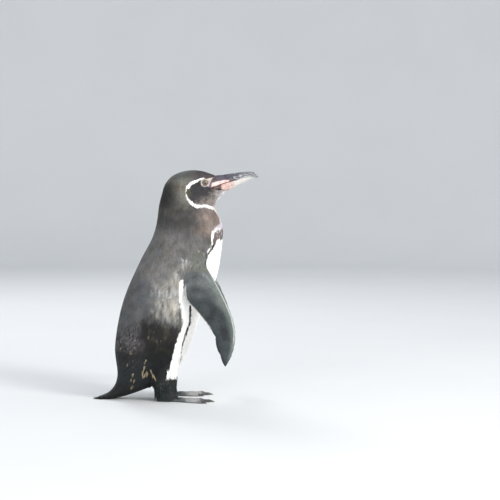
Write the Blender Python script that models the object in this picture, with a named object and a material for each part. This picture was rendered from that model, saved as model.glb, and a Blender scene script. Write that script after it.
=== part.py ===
"""Galapagos penguin, standing still: the solids of a life-size museum model.

The bird faces +X, its right side is at -Y, and it stands on z = 0 on both soles and the tip of its tail.
Bill, head, neck, trunk and tail are modelled as one loft and then parted with thin cuts. Flippers, legs
and feet are lofts of their own, trimmed where they meet the body. The stations are in millimetres from a
point on the floor under the nape. At the end everything moves so that the origin is under the middle of
the whole bird.
"""

import math

import bmesh
import bpy
import numpy as np
from mathutils import Matrix, Vector
from mathutils.bvhtree import BVHTree

# ---------------------------------------------------------------- driving dimensions, in millimetres
MM = 0.001
UP = Vector((0, 0, 1))
GAP = 0.3  # between any two pieces that meet
REACH = 400.0  # longer than any cut has to be

BODY_SIDES = 28
BODY_STEPS = 2  # rings from one station to the next
FLIPPER_SIDES = 14
FLIPPER_STEPS = 2
LEG_SIDES = 20
TOE_SIDES = 10
TOE_RINGS = 13
CLAW_SIDES = 6

# Body stations, from the tip of the bill to the tip of the tail. Each is a closed section through two points
# of the side outline: (chin, throat or belly x, z), (crown or back x, z), half width, and where it is widest,
# from -1 at the belly to 1 at the back.
STATIONS = (
    ((159.8, 362.4), (160.8, 364.6), 0.9, 0.0),  # hooked tip of the bill
    ((154.5, 361.0), (157.2, 368.8), 2.1, 0.0),
    ((146.0, 357.8), (149.0, 371.6), 3.3, 0.0),
    ((133.0, 352.2), (136.0, 371.3), 4.7, 0.0),
    ((120.0, 345.6), (121.0, 369.6), 6.1, 0.0),
    ((110.5, 341.2), (106.5, 367.4), 7.2, -0.05),  # chin feathers start
    ((105.5, 337.0), (96.5, 366.2), 8.0, -0.05),  # root of the culmen
    ((101.5, 332.4), (88.0, 366.9), 9.3, 0.0),  # lores
    ((97.6, 327.7), (79.5, 370.5), 11.6, 0.05),  # eyes
    ((94.3, 323.4), (68.0, 373.8), 15.8, 0.05),
    ((91.6, 319.8), (53.0, 375.0), 21.2, 0.05),  # crown
    ((90.2, 317.0), (36.0, 372.6), 26.0, 0.05),
    ((90.2, 314.6), (19.5, 365.6), 29.6, 0.0),
    ((91.4, 311.4), (8.0, 352.5), 32.4, 0.0),  # nape
    ((94.0, 306.0), (1.6, 334.0), 35.6, 0.0),
    ((97.8, 298.0), (-3.0, 314.5), 39.8, 0.0),
    ((101.6, 288.0), (-5.2, 296.0), 44.5, 0.0),
    ((104.0, 275.5), (-9.2, 276.5), 49.2, 0.0),
    ((103.2, 260.0), (-16.0, 259.5), 53.6, 0.0),  # shoulders
    ((100.4, 236.0), (-29.0, 236.0), 58.6, 0.0),
    ((95.8, 208.0), (-42.5, 208.0), 61.5, 0.0),  # breast
    ((87.0, 181.0), (-54.2, 182.0), 62.5, -0.05),
    ((74.5, 154.0), (-63.5, 155.0), 62.6, -0.1),  # belly
    ((64.0, 129.0), (-69.5, 130.0), 61.8, -0.1),
    ((56.0, 105.0), (-73.6, 104.0), 60.0, -0.1),
    ((46.0, 82.0), (-75.6, 81.0), 56.8, -0.1),
    ((35.0, 58.5), (-73.6, 62.0), 51.6, -0.05),
    ((23.0, 39.0), (-71.8, 50.0), 45.0, 0.0),
    ((3.0, 27.0), (-71.4, 39.0), 37.5, 0.05),  # vent
    ((-18.0, 18.5), (-72.6, 29.5), 30.5, 0.1),
    ((-38.0, 11.0), (-76.6, 20.5), 24.0, 0.15),  # tail coverts
    ((-57.0, 4.5), (-83.4, 12.6), 19.5, 0.2),
    ((-75.0, 0.4), (-91.2, 7.6), 15.5, 0.2),
    ((-89.0, -1.6), (-99.0, 4.6), 11.5, 0.2),
    ((-101.0, -2.4), (-106.0, 2.0), 7.0, 0.2),  # tip of the tail
)
SECTION_POWER = 2.15  # 2 is an ellipse, more is squarer

# Cuts, each through two points of the side view.
NECK_TOP_CUT = ((90.6, 317.6), (3.4, 342.0))
NECK_BASE_CUT = ((104.0, 266.0), (-12.0, 266.0))
TAIL_CUT = ((-8.0, 22.5), (-71.6, 36.0))

# The bill's edges in the side view.
CULMEN_ROOT = (92.0, 366.4)
CHEEK_EDGE = (87.0, 357.5)
GAPE = (84.4, 345.6)
CHIN_EDGE = (109.7, 341.2)
MOUTH_LINE = (
    GAPE,
    (94.0, 349.2),
    (104.6, 353.0),
    (118.0, 356.8),
    (133.0, 361.0),
    (146.0, 363.6),
    (157.0, 361.2),
)

EYE_AT = (73.6, 354.0)
EYE_RADIUS = 8.0
EYE_OPENING = 4.9  # radius of what shows of the eyeball
EYE_SEGMENTS = (16, 10)  # round the eyeball, and from front to back

# Right flipper: front edge (x, z), rear edge (x, z), y of each edge, and half thickness.
FLIPPER = (
    ((66.0, 238.0), (42.7, 212.0), -37.0, -45.0, 8.0),  # shoulder, inside the body
    ((78.5, 219.5), (40.4, 188.5), -50.0, -59.0, 7.2),
    ((96.0, 192.5), (43.5, 166.0), -61.5, -68.0, 6.2),  # elbow
    ((110.5, 164.1), (61.6, 149.1), -70.0, -73.5, 5.2),
    ((120.0, 142.1), (78.2, 128.0), -76.0, -78.0, 4.6),
    ((125.0, 116.9), (90.0, 110.7), -81.0, -82.0, 4.0),
    ((122.6, 91.8), (95.8, 93.2), -85.0, -85.0, 3.3),
    ((115.4, 73.7), (99.6, 75.1), -87.6, -87.4, 2.5),
    ((109.0, 63.6), (106.4, 63.8), -89.0, -88.9, 1.2),  # tip
)
SHOULDER = (52.0, 226.0)  # x, z of the joint
LEFT_FLIPPER_BACK = 4.0  # degrees that the left flipper hangs further back than the right one

# Feathered leg, from inside the belly to the bare ankle: x, y, z of its middle, half length and half width.
LEG_SPREAD = 30.0
LEG = (
    (8.0, 25.0, 62.0, 25.0, 20.0),
    (8.0, 28.0, 42.0, 22.5, 17.0),
    (8.2, LEG_SPREAD, 26.0, 20.5, 13.5),
    (10.6, LEG_SPREAD, 13.0, 18.6, 11.2),
    (12.2, LEG_SPREAD, 6.0, 17.8, 10.6),
    (12.6, LEG_SPREAD, -2.0, 16.2, 9.4),
)
ANKLE_Z = 12.0  # where the feathers end
LEFT_FOOT_BACK = 4.0  # the left leg stands this far behind the right one

# Foot: each toe's name, turn from the foot's line (positive is outward), length, and root half width.
TOE_ROOT = (20.0, 2.0)  # along the foot, height
TOES = (("inner", -19.0, 47.0, 4.6), ("middle", -1.0, 61.0, 5.0), ("outer", 17.0, 54.0, 4.6))
TOE_HEIGHT = 7.0
TOE_TIP_SHARE = 0.62  # of the toe's root size
TOE_HIDDEN = 0.16  # share of a toe's length that lies inside the ankle
FOOT_TURN = 7.0  # degrees outward
WEB_TOP = 3.0
WEB_ROOT = 2.0  # along the toes, inside the ankle
WEB_REACH = (0.88, 0.76)  # share of a toe's length: beside the toe, and midway between two toes
CLAW_LENGTH = 9.0
CLAW_HALF = 2.0
HALLUX_AT = (12.0, -9.5, 5.5)  # along the foot, to its inner side, height
HALLUX_LENGTH = 13.0
HALLUX_HALF = 3.2


# ---------------------------------------------------------------- mesh helpers
def clear_scene():
    for item in list(bpy.data.objects):
        bpy.data.objects.remove(item)


def collection(name, hidden=False):
    made = bpy.data.collections.new(name)
    bpy.context.scene.collection.children.link(made)
    made.hide_render = hidden
    return made


def smooth_rows(rows, steps, spacing):
    """Rows read from one smooth curve through the given rows; spacing is the length of each span."""
    rows = np.array(rows, float)
    slopes = np.diff(rows, axis=0) / spacing[:, None]
    tangents = np.vstack([slopes[:1], slopes, slopes[-1:]])
    before = np.concatenate([spacing[:1], spacing])[:, None]
    after = np.concatenate([spacing, spacing[-1:]])[:, None]
    tangents = (tangents[:-1] * after + tangents[1:] * before) / (before + after)
    found = []
    for i, span in enumerate(spacing):
        for t in np.arange(steps) / steps:
            start = (2 * t**3 - 3 * t**2 + 1) * rows[i] + (t**3 - 2 * t**2 + t) * span * tangents[i]
            end = (3 * t**2 - 2 * t**3) * rows[i + 1] + (t**3 - t**2) * span * tangents[i + 1]
            found.append(start + end)
    found.append(rows[-1])
    return np.array(found)


def spread(rows, *columns):
    """The mean distance between neighbouring rows, over the points held in these columns."""
    rows = np.array(rows, float)
    steps = [np.linalg.norm(np.diff(rows[:, c], axis=0), axis=1) for c in columns]
    return np.mean(steps, axis=0)


def loft(name, rings, home):
    """A closed solid through rings of points, with a flat face at each end."""
    shape = bmesh.new()
    loops = [[shape.verts.new(Vector(p) * MM) for p in ring] for ring in rings]
    around = len(loops[0])
    for low, high in zip(loops, loops[1:]):
        for i in range(around):
            j = (i + 1) % around
            shape.faces.new((low[i], low[j], high[j], high[i]))
    shape.faces.new(loops[0])
    shape.faces.new(loops[-1])
    bmesh.ops.recalc_face_normals(shape, faces=shape.faces)
    return to_object(name, shape, home)


def to_object(name, shape, home):
    mesh = bpy.data.meshes.new(name)
    shape.to_mesh(mesh)
    shape.free()
    made = bpy.data.objects.new(name, mesh)
    home.objects.link(made)
    return made


def copy_of(source, name, home, grow=0.0):
    """A copy of an object, its surface moved outwards by grow."""
    made = bpy.data.objects.new(name, source.data.copy())
    home.objects.link(made)
    if grow:
        normals = [vertex.normal.copy() for vertex in made.data.vertices]
        for vertex, normal in zip(made.data.vertices, normals):
            vertex.co += normal * grow * MM
    return made


def carve(target, cutter, operation="DIFFERENCE"):
    """Applies a Boolean to the target's mesh."""
    modifier = target.modifiers.new("carve", "BOOLEAN")
    modifier.operation = operation
    modifier.solver = "EXACT"
    modifier.object = cutter
    graph = bpy.context.evaluated_depsgraph_get()
    result = bpy.data.meshes.new_from_object(target.evaluated_get(graph))
    target.modifiers.clear()
    target.data = result


def halves(source, cut, home):
    """Parts an object with a thin cut through two points of the side view: lower piece, then upper."""
    (x0, z0), (x1, z1) = cut
    normal = Vector((z0 - z1, 0, x1 - x0)).normalized()
    made = []
    for side in (-1, 1):
        shape = bmesh.new()
        shape.from_mesh(source.data)
        at = (Vector((x0, 0, z0)) + normal * side * GAP / 2) * MM
        everything = [*shape.verts, *shape.edges, *shape.faces]
        bmesh.ops.bisect_plane(
            shape, geom=everything, dist=1e-7, plane_co=at, plane_no=normal * side, clear_inner=True
        )
        close_holes(shape)
        made.append(to_object("half", shape, home))
    bpy.data.objects.remove(source)
    return sorted(made, key=top_of)


def close_holes(shape):
    rim = [edge for edge in shape.edges if edge.is_boundary]
    bmesh.ops.holes_fill(shape, edges=rim, sides=0)
    bmesh.ops.recalc_face_normals(shape, faces=shape.faces)


def flatten_underside(target):
    """Cuts away what lies under the floor, which leaves a small flat to stand on."""
    shape = bmesh.new()
    shape.from_mesh(target.data)
    everything = [*shape.verts, *shape.edges, *shape.faces]
    bmesh.ops.bisect_plane(
        shape, geom=everything, dist=1e-7, plane_co=(0, 0, 0), plane_no=(0, 0, 1), clear_inner=True
    )
    close_holes(shape)
    shape.to_mesh(target.data)
    shape.free()


def slit(name, line, home):
    """A thin upright ribbon along a line of the side view, as wide as the whole bird, to cut with."""
    line = np.array(line, float)
    ahead = np.gradient(line, axis=0)
    ahead /= np.linalg.norm(ahead, axis=1)[:, None]
    aside = np.stack([-ahead[:, 1], ahead[:, 0]], axis=1) * GAP / 2
    outline = np.vstack([line + aside, (line - aside)[::-1]])
    rings = [[(x, y, z) for x, z in outline] for y in (-REACH / 4, REACH / 4)]
    return loft(name, rings, home)


def loose_parts(source, home):
    """Splits an object into one object for each piece that stands alone."""
    shape = bmesh.new()
    shape.from_mesh(source.data)
    shape.verts.ensure_lookup_table()
    shape.faces.ensure_lookup_table()
    left = set(shape.faces)
    groups = []
    while left:
        group, edge_of = set(), [left.pop()]
        while edge_of:
            face = edge_of.pop()
            group.add(face.index)
            near = {other for edge in face.edges for other in edge.link_faces} & left
            left -= near
            edge_of.extend(near)
        groups.append(group)
    made = []
    for number, group in enumerate(groups):
        part = shape.copy()
        part.faces.ensure_lookup_table()
        bmesh.ops.delete(part, geom=[f for f in part.faces if f.index not in group], context="FACES")
        made.append(to_object(f"{source.name}_{number}", part, home))
    shape.free()
    bpy.data.objects.remove(source)
    return made


def mirrored(source, name, home, move):
    """The same piece on the bird's other side, and then moved."""
    made = bpy.data.objects.new(name, source.data.copy())
    home.objects.link(made)
    made.data.transform(move @ Matrix.Scale(-1, 4, (0, 1, 0)))
    made.data.flip_normals()
    return made


def top_of(item):
    return max(vertex.co.z for vertex in item.data.vertices)


def middle_of(item):
    return sum((vertex.co for vertex in item.data.vertices), Vector()) / len(item.data.vertices)


def surface_y(body, x, z):
    """How far out the body's surface is at a point of the side view."""
    tree = BVHTree.FromObject(body, bpy.context.evaluated_depsgraph_get())
    hit = tree.ray_cast(Vector((x, REACH, z)) * MM, Vector((0, -1, 0)))[0]
    return hit.y / MM


# ---------------------------------------------------------------- body
def power(value, exponent):
    return np.sign(value) * np.abs(value) ** exponent


def body_rings():
    """Closed sections, each widest a little towards its belly or back."""
    rows = [(*low, *high, width, bias) for low, high, width, bias in STATIONS]
    rows = smooth_rows(rows, BODY_STEPS, spread(rows, slice(0, 2), slice(2, 4)))
    turn = np.arange(BODY_SIDES) / BODY_SIDES * 2 * math.pi
    across = power(np.sin(turn), 2 / SECTION_POWER)
    up = power(np.cos(turn), 2 / SECTION_POWER)
    rings = []
    for x0, z0, x1, z1, width, bias in rows:
        share = (1 + up + bias * (1 - up**2)) / 2
        rings.append(np.stack([x0 + (x1 - x0) * share, width * across, z0 + (z1 - z0) * share], axis=1))
    return rings


def make_body(parts, cutters):
    """Head, bill, neck, trunk and tail, from one loft. Returns its outside, to cut the limbs with."""
    whole = loft("whole", body_rings(), cutters)
    outside = copy_of(whole, "body_outside", cutters, grow=GAP)
    tail, above_tail = halves(whole, TAIL_CUT, parts)
    trunk, above_trunk = halves(above_tail, NECK_BASE_CUT, parts)
    neck, face = halves(above_trunk, NECK_TOP_CUT, parts)
    tail.name, trunk.name, neck.name, face.name = "tail", "trunk", "neck", "face"
    flatten_underside(tail)
    part_bill(face, parts, cutters)
    return outside


def part_bill(face, parts, cutters):
    """Cuts the bill from the face round its feathered edge, and its two halves from each other."""
    over = (CULMEN_ROOT[0] + 4.0, CULMEN_ROOT[1] + 16.0)
    under = (CHIN_EDGE[0] + 16.0, CHIN_EDGE[1] - 8.0)
    edge = slit("bill_edge", (over, CULMEN_ROOT, CHEEK_EDGE, GAPE, CHIN_EDGE, under), cutters)
    behind = (GAPE[0] - GAP / 3, GAPE[1] - GAP / 9)
    beyond = (MOUTH_LINE[-1][0] + 6.0, MOUTH_LINE[-1][1] - 5.0)
    mouth = slit("mouth", (behind, *MOUTH_LINE[1:], beyond), cutters)
    carve(face, edge)
    carve(face, mouth)
    pieces = sorted(loose_parts(face, parts), key=lambda item: middle_of(item).x)
    head, jaws = pieces[0], sorted(pieces[1:], key=lambda item: middle_of(item).z)
    head.name, jaws[0].name, jaws[-1].name = "head", "bill_lower", "bill_upper"


def make_eyes(outside, parts, cutters):
    """Eyeballs, sunk so far that a round of EYE_OPENING shows, each in a socket of its own."""
    head = parts.objects["head"]
    sunk = math.sqrt(EYE_RADIUS**2 - EYE_OPENING**2)
    out = surface_y(outside, *EYE_AT) - GAP - sunk
    for name, side in (("eye_right", -1), ("eye_left", 1)):
        place = Matrix.Translation(Vector((EYE_AT[0], side * out, EYE_AT[1])) * MM)
        for label, radius, home in ((name, EYE_RADIUS, parts), (name + "_socket", EYE_RADIUS + GAP, cutters)):
            ball = bmesh.new()
            around, along = EYE_SEGMENTS
            bmesh.ops.create_uvsphere(
                ball, u_segments=around, v_segments=along, radius=radius * MM, matrix=place
            )
            made = to_object(label, ball, home)
        carve(head, made)


# ---------------------------------------------------------------- flippers
def flipper_rings():
    """Blade sections with a round front edge and a thin rear one."""
    rows = [(*front, *rear, y0, y1, half) for front, rear, y0, y1, half in FLIPPER]
    rows = smooth_rows(rows, FLIPPER_STEPS, spread(rows, slice(0, 2), slice(2, 4)))
    turn = np.arange(FLIPPER_SIDES) / FLIPPER_SIDES * 2 * math.pi
    back = (1 - np.cos(turn)) / 2
    height = np.sin(turn) * (1 - 0.5 * back)
    rings = []
    for i, row in enumerate(rows):
        front, rear = Vector((row[0], row[4], row[1])), Vector((row[2], row[5], row[3]))
        near, far = rows[max(i - 1, 0)], rows[min(i + 1, len(rows) - 1)]
        root = Vector((near[0] + near[2], near[4] + near[5], near[1] + near[3]))
        tip = Vector((far[0] + far[2], far[4] + far[5], far[1] + far[3]))
        outward = (rear - front).cross(tip - root).normalized()
        rings.append([front.lerp(rear, b) + outward * h * row[6] for b, h in zip(back, height)])
    return rings


def make_flippers(outside, parts):
    """The right flipper and its mirror image, which hangs a little further back."""
    shoulder = Matrix.Translation(Vector((SHOULDER[0], 0, SHOULDER[1])) * MM)
    swing = Matrix.Rotation(math.radians(LEFT_FLIPPER_BACK), 4, "Y")
    right = loft("flipper_right", flipper_rings(), parts)
    left = mirrored(right, "flipper_left", parts, shoulder @ swing @ shoulder.inverted())
    carve(right, outside)
    carve(left, outside)


# ---------------------------------------------------------------- legs and feet
def leg_rings():
    rows = smooth_rows(LEG, 2, spread(LEG, slice(0, 3)))
    turn = np.arange(LEG_SIDES) / LEG_SIDES * 2 * math.pi
    return [[(x + a * math.cos(t), -y + b * math.sin(t), z) for t in turn] for x, y, z, a, b in rows]


def on_foot(along, aside, height):
    """A point of the right foot: along its line, to its outer side, and up."""
    turn = math.radians(FOOT_TURN)
    ahead, out = Vector((math.cos(turn), -math.sin(turn), 0)), Vector((-math.sin(turn), -math.cos(turn), 0))
    return Vector((0, -LEG_SPREAD, height)) + ahead * along + out * aside


def toe_point(angle, along, height=0.0):
    turn = math.radians(angle)
    return on_foot(TOE_ROOT[0] + along * math.cos(turn), along * math.sin(turn), height)


def make_toe(name, angle, length, half, parts):
    """A toe with three low knuckles, from inside the ankle to the root of its claw."""
    side = (toe_point(angle + 90, 1.0) - toe_point(angle + 90, 0.0)).normalized()
    turns = np.arange(TOE_SIDES) / TOE_SIDES * 2 * math.pi
    rings = []
    for share in np.linspace(-TOE_HIDDEN, 1.0, TOE_RINGS):
        knuckle = 1 + 0.07 * math.cos(share * 3 * 2 * math.pi)
        size = (1 - (1 - TOE_TIP_SHARE) * max(share, 0)) * knuckle
        middle = toe_point(angle, share * length)
        wide, tall = half * size, TOE_HEIGHT * size
        ring = [middle + side * wide * math.cos(t) + UP * tall * (0.45 + 0.55 * math.sin(t)) for t in turns]
        rings.append(ring)
    return loft("toe_" + name, rings, parts)


def make_web(parts):
    """The thin skin between the toes, its front edge hollow between two toes."""
    angles = [toe[1] for toe in TOES]
    lengths = [toe[2] for toe in TOES]
    edge = []
    for i in range(len(TOES) - 1):
        for share in np.linspace(0, 1, 5)[: 5 if i == len(TOES) - 2 else 4]:
            angle = angles[i] + (angles[i + 1] - angles[i]) * share
            length = lengths[i] + (lengths[i + 1] - lengths[i]) * share
            hollow = math.sin(share * math.pi)
            edge.append((angle, length * (WEB_REACH[0] + (WEB_REACH[1] - WEB_REACH[0]) * hollow)))
    rings = []
    for height in (-1.0, WEB_TOP):
        ring = [toe_point(angle, reach, height) for angle, reach in edge]
        ring += [toe_point(angles[-1], WEB_ROOT, height), toe_point(angles[0], WEB_ROOT, height)]
        rings.append(ring)
    return loft("web", rings, parts)


def make_claw(name, root, ahead, down, length, half, parts):
    """A curved claw that runs from its root to a point near the floor."""
    side = ahead.cross(UP).normalized()
    turns = np.arange(CLAW_SIDES) / CLAW_SIDES * 2 * math.pi
    rings = []
    for share in np.linspace(0, 1, 6):
        size = half * (1 - 0.86 * share)
        middle = root + ahead * length * share - UP * down * share**2
        rings.append([middle + side * size * math.cos(t) + UP * size * 1.25 * math.sin(t) for t in turns])
    return loft(name, rings, parts)


def make_leg(outside, parts, cutters):
    """The right leg and foot, and their mirror images."""
    limb = loft("limb", leg_rings(), parts)
    foot_pieces = [make_toe(name, angle, length, half, cutters) for name, angle, length, half in TOES]
    foot_pieces += [make_web(cutters), make_hallux(cutters)]
    for piece in foot_pieces:
        carve(limb, piece, "UNION")
    flatten_underside(limb)
    left_limb = mirrored(limb, "left_limb", parts, left_leg_move())
    for side, whole in (("left", left_limb), ("right", limb)):
        foot, leg = halves(whole, ((-REACH, ANKLE_Z), (REACH, ANKLE_Z)), parts)
        carve(leg, outside)
        leg.name, foot.name = "leg_" + side, "foot_" + side
    make_claws(parts)


def left_leg_move():
    return Matrix.Translation((-LEFT_FOOT_BACK * MM, 0, 0))


def make_hallux(parts):
    """The small fourth toe on the inner side of the ankle."""
    rings = []
    ahead = (hallux_point(1.0) - hallux_point(0.0)).normalized()
    side = ahead.cross(UP).normalized()
    lift = side.cross(ahead)
    turns = np.arange(TOE_SIDES) / TOE_SIDES * 2 * math.pi
    for share in np.linspace(0, 1, 6):
        size = HALLUX_HALF * (1 - 0.4 * share)
        middle = hallux_point(HALLUX_LENGTH * (share - 0.35))
        rings.append([middle + side * size * math.cos(t) + lift * size * math.sin(t) for t in turns])
    return loft("hallux", rings, parts)


def hallux_point(along):
    forward, inward, height = HALLUX_AT
    return on_foot(forward + along * 0.75, inward - along * 0.62, height - along * 0.12)


def make_claws(parts):
    """Claws sit just ahead of the toes, with a gap."""
    for name, angle, length, half in TOES:
        ahead = (toe_point(angle, 1.0) - toe_point(angle, 0.0)).normalized()
        root = toe_point(angle, length + GAP, TOE_HEIGHT * TOE_TIP_SHARE * 0.5)
        claw = make_claw(f"claw_{name}_right", root, ahead, 1.6, CLAW_LENGTH, CLAW_HALF, parts)
        mirrored(claw, f"claw_{name}_left", parts, left_leg_move())
    ahead = (hallux_point(1.0) - hallux_point(0.0)).normalized()
    root = hallux_point(HALLUX_LENGTH * 0.65) + ahead * GAP * 2
    claw = make_claw("claw_hallux_right", root, ahead, 1.0, CLAW_LENGTH * 0.6, CLAW_HALF * 0.7, parts)
    mirrored(claw, "claw_hallux_left", parts, left_leg_move())


# ---------------------------------------------------------------- finish
FINISHES = {
    "plumage_dark": ((0.115, 0.105, 0.09), 0.75),
    "flipper_plumage": ((0.10, 0.108, 0.105), 0.65),
    "bill_horn": ((0.10, 0.08, 0.08), 0.42),
    "bill_pale": ((0.70, 0.46, 0.38), 0.45),
    "eye": ((0.16, 0.08, 0.04), 0.08),
    "foot_skin": ((0.20, 0.175, 0.165), 0.6),
    "claw_horn": ((0.04, 0.035, 0.03), 0.4),
}


def finish_of(name):
    for start, finish in (
        ("claw", "claw_horn"),
        ("eye", "eye"),
        ("foot", "foot_skin"),
        ("flipper", "flipper_plumage"),
        ("bill_upper", "bill_horn"),
        ("bill_lower", "bill_pale"),
    ):
        if name.startswith(start):
            return finish
    return "plumage_dark"


def paint(parts):
    for name, (colour, roughness) in FINISHES.items():
        material = bpy.data.materials.new(name)
        material.use_nodes = True
        shader = material.node_tree.nodes["Principled BSDF"]
        shader.inputs["Base Color"].default_value = (*colour, 1)
        shader.inputs["Roughness"].default_value = roughness
    for item in parts.objects:
        item.data.materials.clear()
        item.data.materials.append(bpy.data.materials[finish_of(item.name)])
        item.data.shade_smooth()
        item.data.set_sharp_from_angle(angle=math.radians(40))


def centre(parts):
    """Moves everything so that the origin is on the floor under the middle of the whole bird."""
    corners = np.array([vertex.co for item in parts.objects for vertex in item.data.vertices])
    low, high = corners.min(axis=0), corners.max(axis=0)
    shift = Matrix.Translation((-(low[0] + high[0]) / 2, -(low[1] + high[1]) / 2, -low[2]))
    for item in parts.objects:
        item.data.transform(shift)


def main():
    clear_scene()
    parts = collection("penguin")
    cutters = collection("cutters", hidden=True)
    outside = make_body(parts, cutters)
    make_eyes(outside, parts, cutters)
    make_flippers(outside, parts)
    make_leg(outside, parts, cutters)
    paint(parts)
    centre(parts)
    for item in cutters.objects:
        item.hide_render = True
        item.display_type = "WIRE"


main()
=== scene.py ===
"""Galapagos penguin: the finished look of the still museum model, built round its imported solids.

The bird faces +X, its right side is at -Y, and it stands on z = 0. Sizes and places below are in millimetres
and are multiplied by MM where a mesh is made. One skin stands for all the flesh. Over it lies a coat of thin
vanes, each a closed mesh, that follow the lie of the plumage. Skin and coat take their colours from the same
functions, so that the markings agree on both.
"""

import math
from types import SimpleNamespace

import bmesh
import bpy
import numpy as np
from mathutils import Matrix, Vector, noise
from mathutils.bvhtree import BVHTree
from mathutils.kdtree import KDTree


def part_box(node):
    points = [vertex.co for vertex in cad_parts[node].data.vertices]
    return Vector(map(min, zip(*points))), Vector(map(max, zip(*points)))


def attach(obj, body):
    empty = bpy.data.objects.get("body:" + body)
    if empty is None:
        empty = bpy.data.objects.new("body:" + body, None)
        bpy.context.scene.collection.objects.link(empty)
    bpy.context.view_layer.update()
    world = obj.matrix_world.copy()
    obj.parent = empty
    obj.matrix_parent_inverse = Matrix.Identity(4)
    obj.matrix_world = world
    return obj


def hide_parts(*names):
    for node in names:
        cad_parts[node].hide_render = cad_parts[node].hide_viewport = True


MM = 0.001
SEED = 11

# ---------------------------------------------------------------- skin
FLESH = ("head", "neck", "trunk", "tail", "leg_right", "leg_left", "flipper_right", "flipper_left")
EYES = ("eye_right", "eye_left")
OVERLAP = 0.45  # grown on every piece of flesh, so that the thin cuts between them close
SKIN_VOXEL = 1.55
SKIN_SMOOTHING = 14
UNWRAP_ANGLE = 66  # degrees
UNWRAP_MARGIN = 0.003
COAT_DEPTH = {"head": 0.9, "neck": 1.3, "trunk": 1.6, "tail": 1.2, "leg": 1.1, "flipper": 0.75}
NAKED_SINK = 0.9  # how much deeper it lies under the naked skin of the face
# Rounds of averaging over the skin, for what changes from part to part.
DEPTH_ROUNDS = 12
COARSE_ROUNDS = 14
LIE_ROUNDS = 16
SHARE_ROUNDS = 18

# ---------------------------------------------------------------- eyes
EYEBALL = 8.0  # radius
EYE_OPENING = 4.5  # radius of what shows between the lids
LID_COVER = 0.3  # how far the lids lie over the eyeball
# Round an eye the skin is led down to a ball of this reach, and sinks by this depth within this hole.
SKIN_SOCKET = {"reach": EYEBALL - 0.9, "hole": 5.9, "depth": 2.5}
FACE_SOCKET = {"reach": EYEBALL + LID_COVER, "hole": EYE_OPENING - 0.1, "depth": LID_COVER + 0.8}
SOCKET_START = 5.3  # within this distance of the eye's axis the skin lies wholly on the ball
SOCKET_ROUND = 6.6  # and to this distance the ball is round
SOCKET_END = 8.6  # beyond this it is left as it was

# ---------------------------------------------------------------- feathers
# How coarse the plumage of each part is; spacing, length, half width, lift, ridge and seat are times this.
PLUME = {"head": 0.5, "neck": 0.76, "trunk": 0.85, "tail": 0.88, "leg": 0.76, "flipper": 0.48}
PLUME_SPACING = 1.75
PLUME_LENGTH = 8.9
PLUME_HALF_WIDTH = 1.22
PLUME_LIFT = 0.58  # of the tip over the skin
MIDDLE_LIFT = 0.62  # of the vane's middle, as a share of the tip's
PLUME_RIDGE = 0.16  # of the shaft over the vane
PLUME_DROOP = 0.1  # of the vane's edges under its middle
PLUME_BEND = 0.05  # sideways, as a share of the length
PLUME_SEAT = 0.26  # of the root under the skin
LOOSE_END = 1.6  # a vane that reaches this far past the skin hangs free
SIDE_CLEARANCE = 0.75  # a flipper's vane with a side or a tip further off than this is left out
TIP_CLEARANCE = 1.3
CROWDING = 4.5  # random places tried for each feather kept
TIP_OVER_FLOOR = 0.6
VANE_OVER_FLOOR = 0.15
# One vane: rows of left edge, shaft and right edge, as (share of the length, share of the width), and a tip.
VANE_ROWS = ((0.0, 0.45), (0.42, 1.0), (0.76, 0.82), (0.93, 0.42))
VANE_SHADES = ((0.6, 0.62, 0.6), (0.88, 1.06, 0.88), (0.94, 1.1, 0.94), (0.96, 1.06, 0.96))
VANE_TIP = 3 * len(VANE_ROWS)
COLOURED_AT = 0.8  # how far along a vane its colour is looked up
PATCH = 0.003  # size of a vane's own patch on the unwrapped skin
SHOULDERS_FROM = 200  # the coat's pieces on the trunk are parted at these heights
MIDDLE_FROM = 118

# ---------------------------------------------------------------- lie of the plumage
SPINE = (
    (62, 0, 353),
    (40, 0, 352),
    (22, 0, 342),
    (18, 0, 322),
    (26, 0, 300),
    (32, 0, 275),
    (26, 0, 240),
    (12, 0, 200),
    (-8, 0, 150),
    (-22, 0, 100),
    (-42, 0, 60),
    (-70, 0, 32),
    (-100, 0, 12),
    (-134, 0, 0),
)
FLIPPER_LINE = (
    (14, 50, 232),
    (27, 52, 225),
    (32, 55, 204),
    (42, 65, 179),
    (59, 72, 157),
    (72, 77, 135),
    (80, 82, 114),
    (82, 85, 92),
    (80, 88, 74),
    (79, 89, 60),
)
FLIPPER_FRONT = (
    (38.6, 37, 238),
    (51, 50, 219.5),
    (68.6, 61.5, 192.5),
    (83, 70, 164),
    (92.6, 76, 142),
    (97.6, 81, 117),
    (95.2, 85, 92),
    (88, 87.6, 73.7),
    (81.6, 89, 63.6),
)
FLIPPER_REAR = (
    (15.3, 45, 212),
    (13, 59, 188.5),
    (16, 68, 166),
    (34.2, 73.5, 149),
    (50.8, 78, 128),
    (62.6, 82, 110.7),
    (68.4, 85, 93.2),
    (72.2, 87.4, 75),
    (79, 88.9, 63.8),
)
SHOULDER = (24.6, 0, 226)  # on the axis that the left flipper is turned about
LEFT_FLIPPER_BACK = 4.0  # degrees
LEG_LINE = ((-16, 28, 70), (-18, 29, 40), (-15, 30, 12), (-14, 30, 0))
FLOW_REACH = 17.0  # how far along the bird one stretch of these lines is felt

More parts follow.
